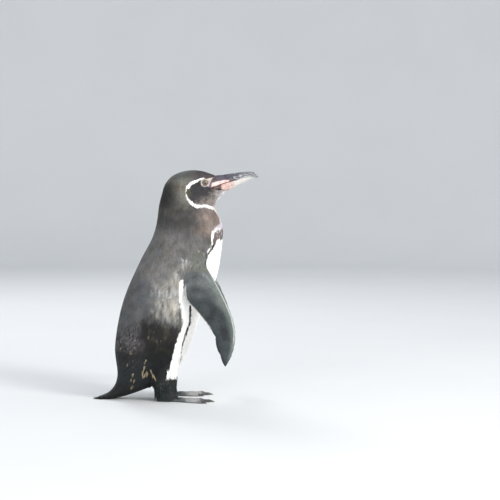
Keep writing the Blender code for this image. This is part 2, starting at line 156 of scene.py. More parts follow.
# ---------------------------------------------------------------- colours, as linear red, green and blue
WHITE = (0.86, 0.85, 0.82)
FOREHEAD = (0.05, 0.041, 0.045)
CROWN = (0.142, 0.136, 0.116)
# Painted shade: the very top of the head is darkened against the lamps from above.
CROWN_TOP_PAINTED_SHADE = (0.72, 0.64, 0.6)  # at the very top
NAPE = (0.024, 0.023, 0.021)
NECK_GREY = (0.046, 0.044, 0.043)
TAN = (0.155, 0.124, 0.108)
SHOULDER_GREY = (0.12, 0.115, 0.113)
SHOULDER_OLIVE = (0.112, 0.114, 0.1)
BACK_GREY = (0.084, 0.085, 0.086)
FLANK_PALE = (0.285, 0.276, 0.25)
FLANK_STROKE = (0.4, 0.39, 0.35)
SHOULDER_FLECK = (0.36, 0.36, 0.32)
WET_BROWN = (0.0115, 0.0105, 0.0105)
WET_MAUVE = (0.097, 0.091, 0.095)
WET_OLIVE = (0.034, 0.032, 0.02)
WET_SPECK = (0.17, 0.125, 0.1)
WET_FLECK = (0.2, 0.18, 0.14)
RUMP_DARK = (0.017, 0.0195, 0.021)
TAIL_BLACK = (0.013, 0.0135, 0.013)
LEG_DARK = (0.0085, 0.0115, 0.011)
LEG_MAUVE = (0.05, 0.045, 0.05)
LEG_OLIVE = (0.03, 0.04, 0.024)
CHEEK = (0.022, 0.021, 0.024)
CHEEK_OLIVE = (0.07, 0.063, 0.04)
CHIN_TAN = (0.15, 0.131, 0.118)
CHIN_PALE = (0.27, 0.255, 0.25)
CHIN_WHITE = (0.66, 0.63, 0.65)
# Dark red at the corner of the mouth: partly the flesh's own colour, partly painted shadow.
MOUTH_CORNER_RED_AND_SHADOW = (0.03, 0.018, 0.018)
BAND_BROWN = (0.1, 0.08, 0.078)
BAND_PALE = (0.36, 0.33, 0.34)
BAND_WHITE = (0.5, 0.46, 0.5)
LINE_BLACK = (0.014, 0.013, 0.012)
WARMTH = (0.07, 0.01, -0.07)  # change of every colour on the dark side, in broad patches
THROAT_PINK = (0.56, 0.48, 0.44)
FLIPPER_SLATE = (0.034, 0.041, 0.043)
FLIPPER_DARK = (0.015, 0.0165, 0.0175)
FLIPPER_TOP = (0.108, 0.116, 0.118)
FLIPPER_FLECK = (0.21, 0.22, 0.235)
# Painted highlight along the flipper's front, and the bright painted glint line down it.
FLIPPER_EDGE_HIGHLIGHT = (0.115, 0.134, 0.123)
FLIPPER_GLINT = (0.4, 0.43, 0.4)
FLIPPER_UNDER = (0.42, 0.41, 0.39)
STRAW = (0.6, 0.5, 0.32)
STRAW_DARK = (0.16, 0.12, 0.08)
FACE = {
    "grey": (0.3, 0.255, 0.26),
    "cream": (0.5, 0.45, 0.37),
    "brow": (0.46, 0.4, 0.32),
    "pink": (0.32, 0.25, 0.262),
    "under the eye": (0.1, 0.085, 0.09),
    "round the eye": (0.42, 0.36, 0.38),
    "crease": (0.5, 0.43, 0.44),
    "lores": (0.03, 0.02, 0.026),
    # At the corner of the mouth: partly the flesh's own dark red, partly painted shadow.
    "gape": (0.06, 0.018, 0.018),
    "by the crown": (0.05, 0.04, 0.045),
    "rim": (0.075, 0.055, 0.045),
}
LID = {"brown": (0.1, 0.075, 0.065), "cream": (0.5, 0.44, 0.36), "pink": (0.3, 0.22, 0.22)}
UPPER_BILL = {
    "slate": (0.06, 0.054, 0.073),
    "purple": (0.028, 0.021, 0.028),
    "grey": (0.17, 0.18, 0.19),
    "veins": (0.05, 0.055, 0.07),
    "scratch": (0.44, 0.44, 0.45),
    "ridge scratch": (0.2, 0.2, 0.22),
    "pink": (0.64, 0.44, 0.42),
    "cream": (0.72, 0.6, 0.54),
    "red": (0.42, 0.2, 0.18),
    "root": (0.03, 0.021, 0.027),
    "lip": (0.4, 0.4, 0.39),
}
LOWER_BILL = {
    "pink": (0.46, 0.31, 0.275),
    "light": (0.66, 0.52, 0.46),
    "horn": (0.5, 0.475, 0.455),
    "tip": (0.4, 0.41, 0.41),
    "dark lines": (0.12, 0.1, 0.1),
    "red lines": (0.27, 0.12, 0.1),
    # At the gape: partly the flesh's own dark red, partly painted shadow.
    "gape": (0.03, 0.012, 0.011),
}
# Where the bill's halves meet: dark red, partly their own colour and partly painted shadow in the slit.
MOUTH_RED_AND_SHADOW = (0.055, 0.022, 0.022)
FOOT = {
    "grey": (0.088, 0.1, 0.104),
    "pale": (0.37, 0.36, 0.36),
    "toe ends": (0.05, 0.062, 0.058),
    "blots": (0.05, 0.055, 0.055),
    "sole": (0.04, 0.04, 0.038),
}
CLAW = {"black": (0.03, 0.03, 0.028), "brown": (0.12, 0.09, 0.06)}

# ---------------------------------------------------------------- where the right side's markings lie
# The white line round the face; the last number is its half width.
COLLAR = (
    (43.5, 15.5, 361.3, 1.2),
    (38, 19, 359.5, 1.7),
    (32.6, 22.3, 356.7, 2.1),
    (24.6, 25.7, 353.2, 2.3),
    (19, 28.6, 347, 2.5),
    (16.2, 29.9, 343, 0.5),
    (15.4, 30.6, 339, 0.1),
    (16.6, 32, 334.4, 0.9),
    (19.1, 33.7, 327.4, 1.5),
    (24.1, 34.8, 321.1, 2.3),
    (32.9, 34.5, 315.9, 2.3),
    (40.9, 31.6, 315.5, 2.2),
    (49.7, 25.9, 316, 2.3),
    (55.9, 20.9, 313.6, 2.2),
    (61.7, 13, 311, 2.3),
    (66.5, 5, 304, 2.3),
)
# Points before the bill that close the outline of the face.
BEFORE_FACE = ((75, 0, 318, 0), (95, 0, 340, 0), (60, 0, 352, 0))
# Height on the fore-neck, and how far the pale strip there reaches to each side.
THROAT_STRIP = ((284, 16), (288, 12), (292, 10), (300, 9), (312, 10), (317, 14))
# Height of a point on the breast and flank, and how far forward the edge of the white lies there.
OUTER_EDGE = (
    (36, -17),
    (45, -13.8),
    (57, -9.6),
    (84, -3.2),
    (103, 3.1),
    (117, 9.2),
    (131, 11.4),
    (146, 9.6),
    (166, 5.8),
    (197, 6.8),
    (201, 20),
    (212, 44),
    (225, 49),
    (238, 52.5),
    (244, 51),
    (250, 56),
    (256, 58.5),
    (263, 57),
    (268, 57.6),
    (273, 58),
    (276, 59.2),
    (279, 61.8),
    (282, 65),
    (285, 69),
    (288, 73.5),
    (292, 79),
)
# The dark horseshoe: over the breast, past the flipper and down the flank. The last number is its half width.
HORSESHOE = (
    (75, 0, 270, 8.0),
    (72.5, 17, 269.5, 8.4),
    (65.5, 29, 269, 7.8),
    (63.6, 33.8, 260, 5.2),
    (62, 36, 253, 3.7),
    (59.5, 38.5, 247.5, 2.9),
    (54.5, 43, 242, 2.4),
    (50.5, 46.5, 238, 1.7),
    (50, 46, 228, 1.3),
    (38, 51, 205, 1.2),
    (24, 55, 182, 1.6),
    (22, 54, 168, 2.2),
    (24.4, 52.5, 160, 2.6),
    (24.2, 50.3, 150.4, 2.7),
    (23.8, 45.3, 137, 2.5),
    (23.2, 41.4, 127, 2.5),
    (19.4, 41.8, 117.3, 3.0),
    (16.2, 41.7, 108.4, 2.8),
    (12.9, 41.1, 99.4, 2.2),
    (10.4, 38.7, 89.4, 1.8),
    (8.4, 30.7, 75.4, 1.3),
    (5.6, 12.3, 56.8, 0.8),
)
# Slate feathers on the body over and behind the flipper's root; half widths last.
FLIPPER_ROOT = (
    (42, 51, 222, 4),
    (33, 55, 219, 5.5),
    (25, 58, 212, 6),
    (19.5, 60, 203, 6.5),
    (18, 60.8, 195, 5.8),
    (18, 60.2, 184, 5.0),
    (20, 59, 173, 3.2),
    (22.5, 57, 164, 1.4),
)
# Middle of the shoulder's olive bulge, and the pale flecks before and behind it with their half widths.
SHOULDER_BULGE = (36, 53, 228)
SHOULDER_ARC = ((30, 55, 241, 0.7), (36, 53, 245, 1.3), (42, 50, 242, 1.5), (48, 47, 237, 1.2))
SHOULDER_TUFTS = (
    (9.5, 59, 231.5, 2.0),
    (15, 58.5, 229.5, 2.2),
    (21, 57.5, 229, 2.0),
    (23.5, 58, 223, 1.6),
    (27, 57, 217.5, 1.6),
    (35, 54.5, 220, 1.2),
)
# Middle of the pale streaks from the shoulder down the flank; half widths last.
PALE_STRIPE = ((18, 57.5, 226, 1), (9, 60.5, 215, 5), (0, 62.5, 200, 8), (-4, 63, 186, 9))
# How far forward, and how high the water has soaked the coat there.
WET_EDGE = (
    (-104, 114),
    (-91, 119),
    (-77, 118),
    (-65, 124),
    (-57, 129),
    (-47, 137),
    (-37, 139),
    (-28, 134),
    (-20, 129),
    (-12, 126),
    (-2, 125),
    (7, 122),
    (20, 112),
)
# Dark smudges on the flipper's outer face, and pale flecks near its root with their half widths.
FLIPPER_DUSK_ABOVE = ((61.4, 77.2, 149.8), (57.5, 78.4, 140.3))
FLIPPER_DUSK_BELOW = ((77.3, 83, 121.7), (80.5, 85.1, 109.2))
FLIPPER_FLECKS = ((40, 55.5, 214, 1.4), (46, 59, 207, 2.4), (54, 63, 200, 2.2), (62, 67, 192, 1.2))


# ---------------------------------------------------------------- small helpers
def settled(values):
    """Unit vectors."""
    return values / np.maximum(np.linalg.norm(values, axis=-1, keepdims=True), 1e-12)


def ease(low, high, values):
    """0 below low, 1 above high, and a smooth step between."""
    share = np.clip((np.asarray(values, float) - low) / (high - low), 0, 1)
    return share * share * (3 - 2 * share)


def blend(first, second, amount):
    """Mixes colours by an amount for each point."""
    return first + (np.asarray(second) - first) * np.asarray(amount)[..., None]


def filled(places, colour):
    """One colour at every place."""
    return np.tile(np.array(colour, float), (len(places), 1))


def shaded(colours, change, least, most):
    """Colours times one plus this change, which is kept within limits."""
    return colours * np.clip(1 + change, least, most)[:, None]


def edge_at(edge, values):
    """Second column of an edge's points, read off at values of the first."""
    rows = np.array(edge, float)
    return np.interp(values, rows[:, 0], rows[:, 1])


def patches(places, size, seed=0):
    """Smooth random values from about -1 to 1, in patches of this size."""
    shift = Vector((17.3, 5.1, 9.7)) * (seed + 1)
    scaled = np.asarray(places) / size
    return np.array([noise.noise(Vector(p) + shift) for p in scaled.tolist()])


def fold(places):
    """The same places, with the bird's right side laid over its left."""
    return np.asarray(places, float) * (1, 0, 1) + np.abs(places) * (0, 1, 0)


def distance_to(line, places):
    """Distance from each place to a line through points, the same on both sides.

    Where the points have a fourth number, the line's half width there is taken off.
    """
    at = fold(places)
    rows = np.array(line, float)
    least = np.full(len(at), 1e9)
    for start, end in zip(rows, rows[1:]):
        along = end[:3] - start[:3]
        share = np.clip((at - start[:3]) @ along / (along @ along), 0, 1)
        gap = np.linalg.norm(at - start[:3] - share[:, None] * along, axis=1)
        if len(start) > 3:
            gap = gap - start[3] - share * (end[3] - start[3])
        least = np.minimum(least, gap)
    return least


def deselect():
    for item in bpy.context.selected_objects:
        item.select_set(False)


def make_active(item):
    deselect()
    item.select_set(True)
    bpy.context.view_layer.objects.active = item


def apply_modifier(item, kind, **settings):
    """Adds one modifier and applies it."""
    modifier = item.modifiers.new(kind.lower(), kind)
    for key, value in settings.items():
        setattr(modifier, key, value)
    make_active(item)
    bpy.ops.object.modifier_apply(modifier=modifier.name)


def remesh(item, voxel, smoothing):
    """Rebuilds a closed shape from small even faces, and smooths it this many times."""
    apply_modifier(item, "REMESH", mode="VOXEL", voxel_size=voxel * MM, adaptivity=0.0)
    apply_modifier(item, "SMOOTH", factor=0.5, iterations=smoothing)


def shade_smooth(item):
    make_active(item)
    bpy.ops.object.shade_smooth()


def edit_whole(item, operator, **settings):
    """Runs one edit mode operator on the whole of a mesh."""
    make_active(item)
    bpy.ops.object.mode_set(mode="EDIT")
    bpy.ops.mesh.select_all(action="SELECT")
    operator(**settings)
    bpy.ops.object.mode_set(mode="OBJECT")


def add_object(name, data):
    made = bpy.data.objects.new(name, data)
    bpy.context.scene.collection.objects.link(made)
    return made


def numbers_of(collection, name, width, kind=float):
    """One property of everything in a collection, in rows of this width."""
    found = np.empty(len(collection) * width, kind)
    collection.foreach_get(name, found)
    return found.reshape(-1, width)


def places_of(mesh):
    return numbers_of(mesh.vertices, "co", 3) / MM


def normals_of(mesh):
    return numbers_of(mesh.vertex_normals, "vector", 3)


def set_places(mesh, places):
    mesh.vertices.foreach_set("co", (np.asarray(places) * MM).ravel())
    mesh.update()


def write_tone(mesh, colours):
    """Keeps a colour for every vertex."""
    colours = np.asarray(colours)
    full = np.ones((len(colours), 4))
    full[:, :3] = np.clip(colours, 0, 1)
    mesh.attributes.new("tone", "FLOAT_COLOR", "POINT").data.foreach_set("color", full.ravel())


def write_value(mesh, name, values):
    """Keeps a number for every vertex."""
    mesh.attributes.new(name, "FLOAT", "POINT").data.foreach_set("value", np.asarray(values, float))


def copies_of(nodes, name):
    """One new object from copies of these nodes, each with its loose triangles merged."""
    shape = bmesh.new()
    for node in nodes:
        shape.from_mesh(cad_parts[node].data)
    bmesh.ops.remove_doubles(shape, verts=shape.verts, dist=0.0005 * MM)
    mesh = bpy.data.meshes.new(name)
    shape.to_mesh(mesh)
    shape.free()
    return add_object(name, mesh)


def dress(piece, slot, material, *nodes):
    """Gives a piece its material, puts it under the root body and hides the nodes it stands for; slot is not
    used.
    """
    piece.data.materials.clear()
    piece.data.materials.append(material)
    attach(piece, "root")
    if nodes:
        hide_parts(*nodes)


# ---------------------------------------------------------------- shader writing
def open_socket(sockets, key):
    """A node's socket by number or by name, or its first one in use."""
    if isinstance(key, int):
        return sockets[key]
    return next(s for s in sockets if s.enabled and key in (None, s.name))


class Wire:
    """A node's output. Sums, differences, products and quotients of wires add Math nodes."""

    def __init__(self, recipe, socket):
        self.recipe = recipe
        self.socket = socket

    def maths(self, operation, first, second):
        return self.recipe.node("ShaderNodeMath", {"operation": operation}, {0: first, 1: second})

    def __add__(self, other):
        return self.maths("ADD", self, other)

    def __radd__(self, other):
        return self.maths("ADD", other, self)

    def __sub__(self, other):
        return self.maths("SUBTRACT", self, other)

    def __rsub__(self, other):
        return self.maths("SUBTRACT", other, self)

    def __mul__(self, other):
        return self.maths("MULTIPLY", self, other)

    def __rmul__(self, other):
        return self.maths("MULTIPLY", other, self)

    def __truediv__(self, other):
        return self.maths("DIVIDE", self, other)


class Recipe:
    """A material, its nodes written as expressions on wires."""

    def __init__(self, name):
        self.material = bpy.data.materials.new(name)
        self.material.use_nodes = True
        self.tree = self.material.node_tree
        self.tree.nodes.clear()

    def node(self, kind, settings=None, inputs=None, output=None):
        made = self.tree.nodes.new(kind)
        for key, value in (settings or {}).items():
            if key == "stops":
                set_stops(made.color_ramp, value)
            else:
                setattr(made, key, value)
        for key, value in (inputs or {}).items():
            socket = open_socket(made.inputs, key)
            if isinstance(value, Wire):
                self.tree.links.new(value.socket, socket)
            else:
                socket.default_value = value
        return Wire(self, open_socket(made.outputs, output)) if made.outputs else None

    def attribute(self, name, output="Fac"):
        return self.node("ShaderNodeAttribute", {"attribute_name": name}, {}, output)

    def here(self):
        return self.node("ShaderNodeTexCoord", {}, {}, "Object")

    def grain(self, size, detail=2.0, stretch=(1, 1, 1)):
        """Soft noise from 0 to 1, in specks of this size in millimetres."""
        mapped = self.node("ShaderNodeMapping", {}, {"Vector": self.here(), "Scale": stretch})
        return self.node(
            "ShaderNodeTexNoise", {}, {"Vector": mapped, "Scale": 1 / (size * MM), "Detail": detail}, "Fac"
        )

    def mix(self, amount, first, second):
        return self.node("ShaderNodeMix", {"data_type": "RGBA"}, {"Factor": amount, "A": first, "B": second})

    def scaled(self, colour, amount):
        return self.node("ShaderNodeVectorMath", {"operation": "SCALE"}, {"Vector": colour, "Scale": amount})

    def bump(self, height, strength, distance):
        inputs = {"Height": height, "Strength": strength, "Distance": distance * MM}
        return self.node("ShaderNodeBump", {}, inputs)

    def surface(self, **inputs):
        """Ends the recipe with one Principled shader; names are its sockets, with _ for a space."""
        named = {key.replace("_", " "): value for key, value in inputs.items()}
        shader = self.node("ShaderNodeBsdfPrincipled", {}, named)
        self.node("ShaderNodeOutputMaterial", {}, {"Surface": shader})
        return self.material


def set_stops(ramp, stops):
    """Gives a colour ramp these stops, each a place and a colour."""
    while len(ramp.elements) < len(stops):
        ramp.elements.new(1.0)
    for element, (place, colour) in zip(ramp.elements, stops):
        element.position = place
        element.color = (*colour, 1.0)


# ---------------------------------------------------------------- materials
def plumage_material(name, dry_roughness, barbs_across):
    """Feather vanes: the markings, broken by slanting barbs, with a soft sheen where the coat is wet."""
    recipe = Recipe(name)
    fluff = recipe.grain(0.6, 3.0)
    specks = recipe.grain(3.5, 2.0)
    slant = recipe.attribute("along") * 1.6 - recipe.attribute("across") * 0.55
    barbs = recipe.node("ShaderNodeMath", {"operation": "SINE"}, {0: slant * (barbs_across * 6.28)})
    light = 0.8 + 0.2 * fluff + 0.16 * specks + 0.05 * barbs
    wet = recipe.attribute("wet")
    return recipe.surface(
        Base_Color=recipe.scaled(recipe.attribute("tone", "Color"), light),
        Roughness=dry_roughness + 0.12 * fluff - wet * 0.12,
        Normal=recipe.bump(0.5 * barbs + fluff, 0.4, 0.07),
        Specular_IOR_Level=0.2,
    )


def skin_material():
    """The skin between the feathers, in their colours but darker."""
    recipe = Recipe("feathered_skin")
    pores = recipe.grain(0.7, 3.0)
    colour = recipe.scaled(recipe.attribute("tone", "Color"), 0.7 + 0.3 * pores)
    return recipe.surface(
        Base_Color=colour, Roughness=0.7 + 0.1 * pores, Normal=recipe.bump(pores, 0.4, 0.2)
    )


def horn_material(name, roughness):
    """Bill and claw sheath: its own tones with fine lengthwise growth lines and a dull polish."""
    recipe = Recipe(name)
    lines = recipe.grain(0.9, 4.0, (0.18, 1, 1))
    scores = recipe.grain(0.32, 3.0, (0.08, 1, 1))
    blotches = recipe.grain(3.2, 3.0)
    light = 0.66 + 0.3 * lines + 0.26 * blotches + 0.12 * scores
    return recipe.surface(
        Base_Color=recipe.scaled(recipe.attribute("tone", "Color"), light),
        Roughness=roughness + 0.12 * lines + 0.16 * scores,
        Normal=recipe.bump(lines + 0.5 * scores, 0.55, 0.14),
        Coat_Weight=0.12,
        Coat_Roughness=0.25,
    )


def bare_skin_material(name, roughness):
    """Naked skin: fine wrinkles and pores, blotched with blood."""
    recipe = Recipe(name)
    pores = recipe.grain(0.45, 3.0)
    blotches = recipe.grain(2.4, 3.0)
    colour = recipe.scaled(recipe.attribute("tone", "Color"), 0.78 + 0.2 * pores + 0.2 * blotches)
    return recipe.surface(
        Base_Color=colour, Roughness=roughness + 0.15 * pores, Normal=recipe.bump(pores, 0.5, 0.15)
    )


def foot_material():
    """Webbed foot: small plates with dark seams on toes and web."""
    recipe = Recipe("foot_scales")
    plates = recipe.node(
        "ShaderNodeTexVoronoi",
        {"feature": "DISTANCE_TO_EDGE"},
        {"Vector": recipe.here(), "Scale": 1 / (1.5 * MM)},
        "Distance",
    )
    seam = recipe.node(
        "ShaderNodeMapRange", {"clamp": True}, {"Value": plates, "From Min": 0.0, "From Max": 0.16}, "Result"
    )
    grain = recipe.grain(0.8, 3.0)
    colour = recipe.scaled(recipe.attribute("tone", "Color"), 0.58 + 0.27 * seam + 0.3 * grain)
    return recipe.surface(
        Base_Color=colour,
        Roughness=0.62 - 0.12 * seam + 0.1 * grain,
        Normal=recipe.bump(seam + 0.3 * grain, 0.6, 0.25),
    )


def eye_material():
    """Eyeball seen through a clear cornea: black pupil, brown iris with fine spokes, dark rim."""
    recipe = Recipe("wet_eye")
    away = recipe.attribute("from_axis")
    spokes = recipe.grain(0.5, 4.0)
    ramp = recipe.node(
        "ShaderNodeValToRGB",
        {
            "stops": (
                (0.0, (0.002, 0.002, 0.002)),
                (0.36, (0.003, 0.002, 0.002)),
                (0.41, (0.05, 0.032, 0.018)),
                (0.56, (0.15, 0.1, 0.055)),
                (0.74, (0.1, 0.068, 0.04)),
                (0.86, (0.025, 0.017, 0.012)),
                (1.0, (0.02, 0.014, 0.012)),
            )
        },
        {"Fac": away / 5.0},
        "Color",
    )
    colour = recipe.scaled(ramp, 0.7 + 0.6 * spokes)
    gloss = 0.08 + 0.05 * spokes
    return recipe.surface(Base_Color=colour, Roughness=gloss, Coat_Weight=1.0, Coat_Roughness=0.02)


def floor_material():
    """Pale grey with a faint mottle."""
    recipe = Recipe("studio_floor")
    mottle = recipe.grain(260, 2.0)
    grey = recipe.mix(mottle, (0.6, 0.61, 0.62, 1), (0.64, 0.645, 0.65, 1))
    return recipe.surface(Base_Color=grey, Roughness=0.75)


# ---------------------------------------------------------------- markings
# Here ease() is mostly given the two heights or distances, in millimetres, between which a marking fades.
def cheek_mask(places):
    """1 on the dark face inside the collar, seen from the side."""
    rows = np.array(COLLAR + BEFORE_FACE, float)[:, [0, 2]]
    x, z = places[:, 0], places[:, 2]
    inside = np.zeros(len(places), bool)
    for (x0, z0), (x1, z1) in zip(rows, np.roll(rows, -1, axis=0)):
        crosses = (z0 > z) != (z1 > z)
        inside ^= crosses & (x < (x1 - x0) * (z - z0) / (z1 - z0 + 1e-9) + x0)
    return inside.astype(float)


def dark_side_colour(places):
    """Crown, nape, neck, back, flanks and rump, from above and behind the white."""
    x, _, z = places.T
    ragged = patches(places, 9.0, 1)
    fine = patches(places, 2.6, 2)
    streaks = patches(places * (1, 1, 0.3), 4.2, 15)
    colour = neck_and_back_colour(places, ragged, fine)
    colour = flank_colour(places, colour, ragged, 0.9 * streaks + 0.2 * fine)
    colour = shoulder_colour(places, colour, ragged, fine)
    shade = 0.16 * ease(-5, -30, x) * ease(240, 215, z) * ease(150, 180, z)
    shade = shade - 0.18 * ease(2, 16, x) * ease(226, 238, z) * ease(272, 258, z)
    streaked = 0.07 + 0.1 * np.clip(ease(-30, 0, x) + ease(190, 150, z), 0, 1)
    mottle = streaked * streaks + 0.08 * fine + 0.2 * ragged + 0.24 * patches(places, 15.0, 24)
    colour = shaded(colour, shade + mottle, 0.55, 1.6)
    warmth = patches(places, 17.0, 25)[:, None] * WARMTH
    return blend(colour * (1 + warmth), wet_colour(places), wetness(places))


def neck_and_back_colour(places, ragged, fine):
    """Crown, forehead, nape, neck and back, with painted shade on the very top of the head."""
    x, _, z = places.T
    # Painted shade on the very top of the head, against the lamps from above.
    painted_top_shade = ease(352, 366, z + 2 * ragged)[:, None] * CROWN_TOP_PAINTED_SHADE
    colour = filled(places, CROWN) * (1.2 - painted_top_shade)
    colour = blend(colour, FOREHEAD, ease(8, 42, x + 4 * ragged))
    colour = blend(colour, NAPE, ease(24, -14, x + 3 * fine) * ease(368, 345, z) * ease(292, 318, z))
    colour = blend(colour, NECK_GREY, ease(330, 300, z + 6 * ragged - 0.25 * x))
    colour = blend(colour, SHOULDER_GREY, ease(293, 258, z + 7 * ragged + 0.2 * x))
    tan = ease(18, 58, x + 5 * ragged + 3 * fine) * ease(319, 309, z) * ease(256, 276, z + 4 * fine)
    colour = blend(colour, TAN, tan)
    return blend(colour, BACK_GREY, ease(203, 165, z + 8 * ragged + 0.3 * x))


def flank_colour(places, colour, ragged, streaks):
    """Adds the pale streaks from the shoulder down the flank."""
    x, _, z = places.T
    pale = ease(-46, -14, x + 7 * ragged) * ease(206, 182, z) * ease(116, 146, z)
    pale = np.maximum(pale, ease(6, -4, distance_to(PALE_STRIPE, places) + 3 * ragged))
    colour = blend(colour, FLANK_PALE, np.clip(pale * (0.66 + streaks), 0, 1))
    strokes = ease(0.4, 0.6, patches(places * (1, 1, 0.4), 2.5, 39))
    return blend(colour, FLANK_STROKE, 0.6 * pale * strokes)


def shoulder_colour(places, colour, ragged, fine):
    """Adds the olive bulge of the shoulder and the pale flecks round it."""
    from_bulge = np.linalg.norm((fold(places) - SHOULDER_BULGE) * (1, 0.5, 0.8), axis=1)
    colour = blend(colour, SHOULDER_OLIVE, 0.85 * ease(17, 9, from_bulge + 3 * ragged))
    gap = np.minimum(distance_to(SHOULDER_ARC, places), distance_to(SHOULDER_TUFTS, places))
    flecks = ease(0.9, -0.9, gap + 1.2 * fine)
    return blend(colour, SHOULDER_FLECK, np.clip(flecks * (0.45 + 2 * fine), 0, 0.75))


def wet_colour(places):
    """Soaked plumage low on the body: near black, with mauve and olive blotches."""
    x, _, z = places.T
    ragged = patches(places, 11.0, 16)
    fine = patches(places, 3.0, 17)
    colour = filled(places, WET_BROWN)
    mauve = ease(-42, -68, x + 18 * ragged + 9 * fine + 0.12 * (z - 105)) * ease(72, 92, z)
    colour = blend(colour, WET_MAUVE, np.clip(mauve * (0.62 + 0.9 * fine + 0.5 * ragged), 0, 1))
    olive = ease(0.1, 0.5, patches(places, 8.0, 26)) * ease(66, 92, z) * ease(-60, -30, x)
    colour = blend(colour, WET_OLIVE, 0.9 * olive)
    colour = blend(colour, RUMP_DARK, ease(88, 58, z + 5 * ragged))
    by_rump = ease(48, 66, z) * ease(134, 118, z) * ease(-52, -82, x)
    colour = blend(colour, WET_SPECK, 0.6 * by_rump * ease(0.4, 0.6, patches(places, 2.0, 18)))
    flecks = ease(0.5, 0.66, patches(places * (1, 1, 0.5), 2.2, 27)) * ease(82, 96, z)
    colour = blend(colour, WET_FLECK, 0.45 * flecks)
    over_leg = ease(104, 80, z + 9 * ragged) * ease(-62, -36, x + 9 * ragged)
    colour = colour * (1 - 0.6 * over_leg)[:, None]
    return shaded(colour, 0.45 * fine, 0.55, 1.6)


def wetness(places):
    """1 low on the body, where water has darkened and clumped the coat, with a ragged upper edge."""
    x, _, z = places.T
    ragged = 9 * patches(places, 15.0, 3) + 9 * patches(places * (1, 1, 0.4), 4.0, 4)
    return ease(13, -13, z - edge_at(WET_EDGE, x) - ragged)


def under_side(places):
    """1 on the white breast and belly in front of the outer edge, 0 behind it."""
    x, _, z = places.T
    jagged = 1.6 * patches(places, 3.0, 5) + 1.2 * patches(places, 7.0, 31)
    front = ease(-0.7, 0.7, x - edge_at(OUTER_EDGE, z) + jagged) * (z < 292)
    hem = ease(-1.5, 1.5, z - 37 + 3.5 * patches(places, 3.0, 6))
    return front * hem


def face_colour(places):
    """Inside the white line: dark cheeks, tan and pale towards the chin, and at the corner of the mouth a
    dark red that is partly the flesh's own and partly painted shadow.
    """
    x, y, z = places.T
    fine = patches(places, 2.4, 19)
    ragged = patches(places, 5.0, 7)
    olive = ease(30, 17, x + 5 * ragged) * ease(322, 334, z) * ease(352, 344, z)
    colour = blend(filled(places, CHEEK), CHEEK_OLIVE, 0.8 * olive)
    chin = ease(42, 66, x + 0.5 * (332 - z) + 6 * ragged) * ease(350, 338, z)
    colour = blend(colour, CHIN_TAN, np.clip(chin * (0.85 + 0.5 * fine), 0, 1))
    low = ease(336, 321, z + 3 * ragged) * ease(22, 44, x)
    colour = blend(colour, CHIN_TAN, np.clip(low * (0.7 + 0.6 * fine), 0, 1))
    pale = ease(15, 9, np.abs(y) + 2 * fine) * ease(56, 62, x) * ease(347, 341, z)
    colour = blend(colour, CHIN_PALE, 0.6 * pale)
    throat = ease(7.5, 3.5, np.abs(y) + 2 * fine + 1.5 * ragged) * ease(56, 63, x)
    throat = throat * ease(348, 340, z) * ease(316, 324, z + 2 * fine)
    colour = blend(colour, CHIN_WHITE, np.clip(throat * (0.8 + 0.5 * fine), 0, 1))
    # Partly painted shadow: the dark red corner of the mouth.
    gape = ease(3.4, 1.6, np.hypot((x - 67.5) / 2.2, z - 344) + 0.8 * fine)
    colour = blend(colour, MOUTH_CORNER_RED_AND_SHADOW, 0.9 * gape)
    return shaded(colour, 0.5 * fine + 0.3 * ragged, 0.45, 1.7)


def head_colour(places, colour):
    """Adds the face and the white line round it."""
    colour = blend(colour, face_colour(places), cheek_mask(places))
    gap = distance_to(COLLAR, places) + 0.9 * patches(places, 3.0, 8)
    return blend(colour, WHITE, ease(0.4, -0.4, gap))


def throat_colour(places, colour, mottled):
    """Adds the pale strip down the fore-neck."""
    x, y, z = places.T
    low = ease(299, 288, z)
    reach = edge_at(THROAT_STRIP, z) + 2.2 * patches(places, 3.5, 9)
    strip = ease(4.5, -3.5, np.abs(y) - reach) * (x > 50) * ease(318, 313, z) * (z > 284)
    pale = blend(filled(places, THROAT_PINK), BAND_WHITE, low)
    return blend(colour, pale, np.clip(strip * (0.8 + 0.5 * mottled + 0.4 * low), 0, 1))


def white_colour(places, colour, mottled):
    """Adds the white breast and belly, which break up into mottles at the throat."""
    z = places[:, 2]
    white = blend(filled(places, WHITE), BAND_WHITE, ease(275, 280, z + 2 * mottled))
    broken = 0.5 * ease(0.1, 0.5, mottled) * ease(270, 278, z)
    return blend(colour, white, under_side(places) * (1 - broken))


def flipper_root_colour(places, colour, on_flipper):
    """Adds the slate feathers on the body over and behind the flipper's root."""
    z = places[:, 2]
    ragged = patches(places * (1, 1, 0.4), 3.0, 28)
    slate = ease(1.0, -1.0, distance_to(FLIPPER_ROOT, places) + ragged)
    slate = np.maximum(slate, ease(0.02, 0.1, on_flipper) * ease(196, 202, z))
    tone = blend(filled(places, FLIPPER_SLATE), FLIPPER_TOP, 0.6 * ease(180, 205, z))
    return blend(colour, over_root(places, tone), slate)


def horseshoe_colour(places, colour, on_leg):
    """Adds the horseshoe: a broken brown band over the breast and a black line down the flank."""
    z = places[:, 2]
    on_breast = ease(252, 262, z)
    by_shoulder = ease(232, 240, z)
    gap = distance_to(HORSESHOE, places) + (0.8 + 0.7 * by_shoulder) * patches(places, 2.8, 10)
    gap = gap + on_breast * (1.3 * patches(places, 2.6, 33) + 3.2 * patches(places, 7.0, 34))
    band = blend(filled(places, LINE_BLACK), BAND_BROWN, on_breast)
    band = blend(band, BAND_PALE, 0.75 * on_breast * ease(0.15, 0.4, patches(places, 3.0, 40)))
    band = shaded(band, 0.7 * patches(places, 3.4, 14) + 0.3 * patches(places, 9.0, 29), 0.4, 1.8)
    return blend(colour, band, ease(0.4, -0.4, gap) * (on_leg < 0.5) * (z > 52))


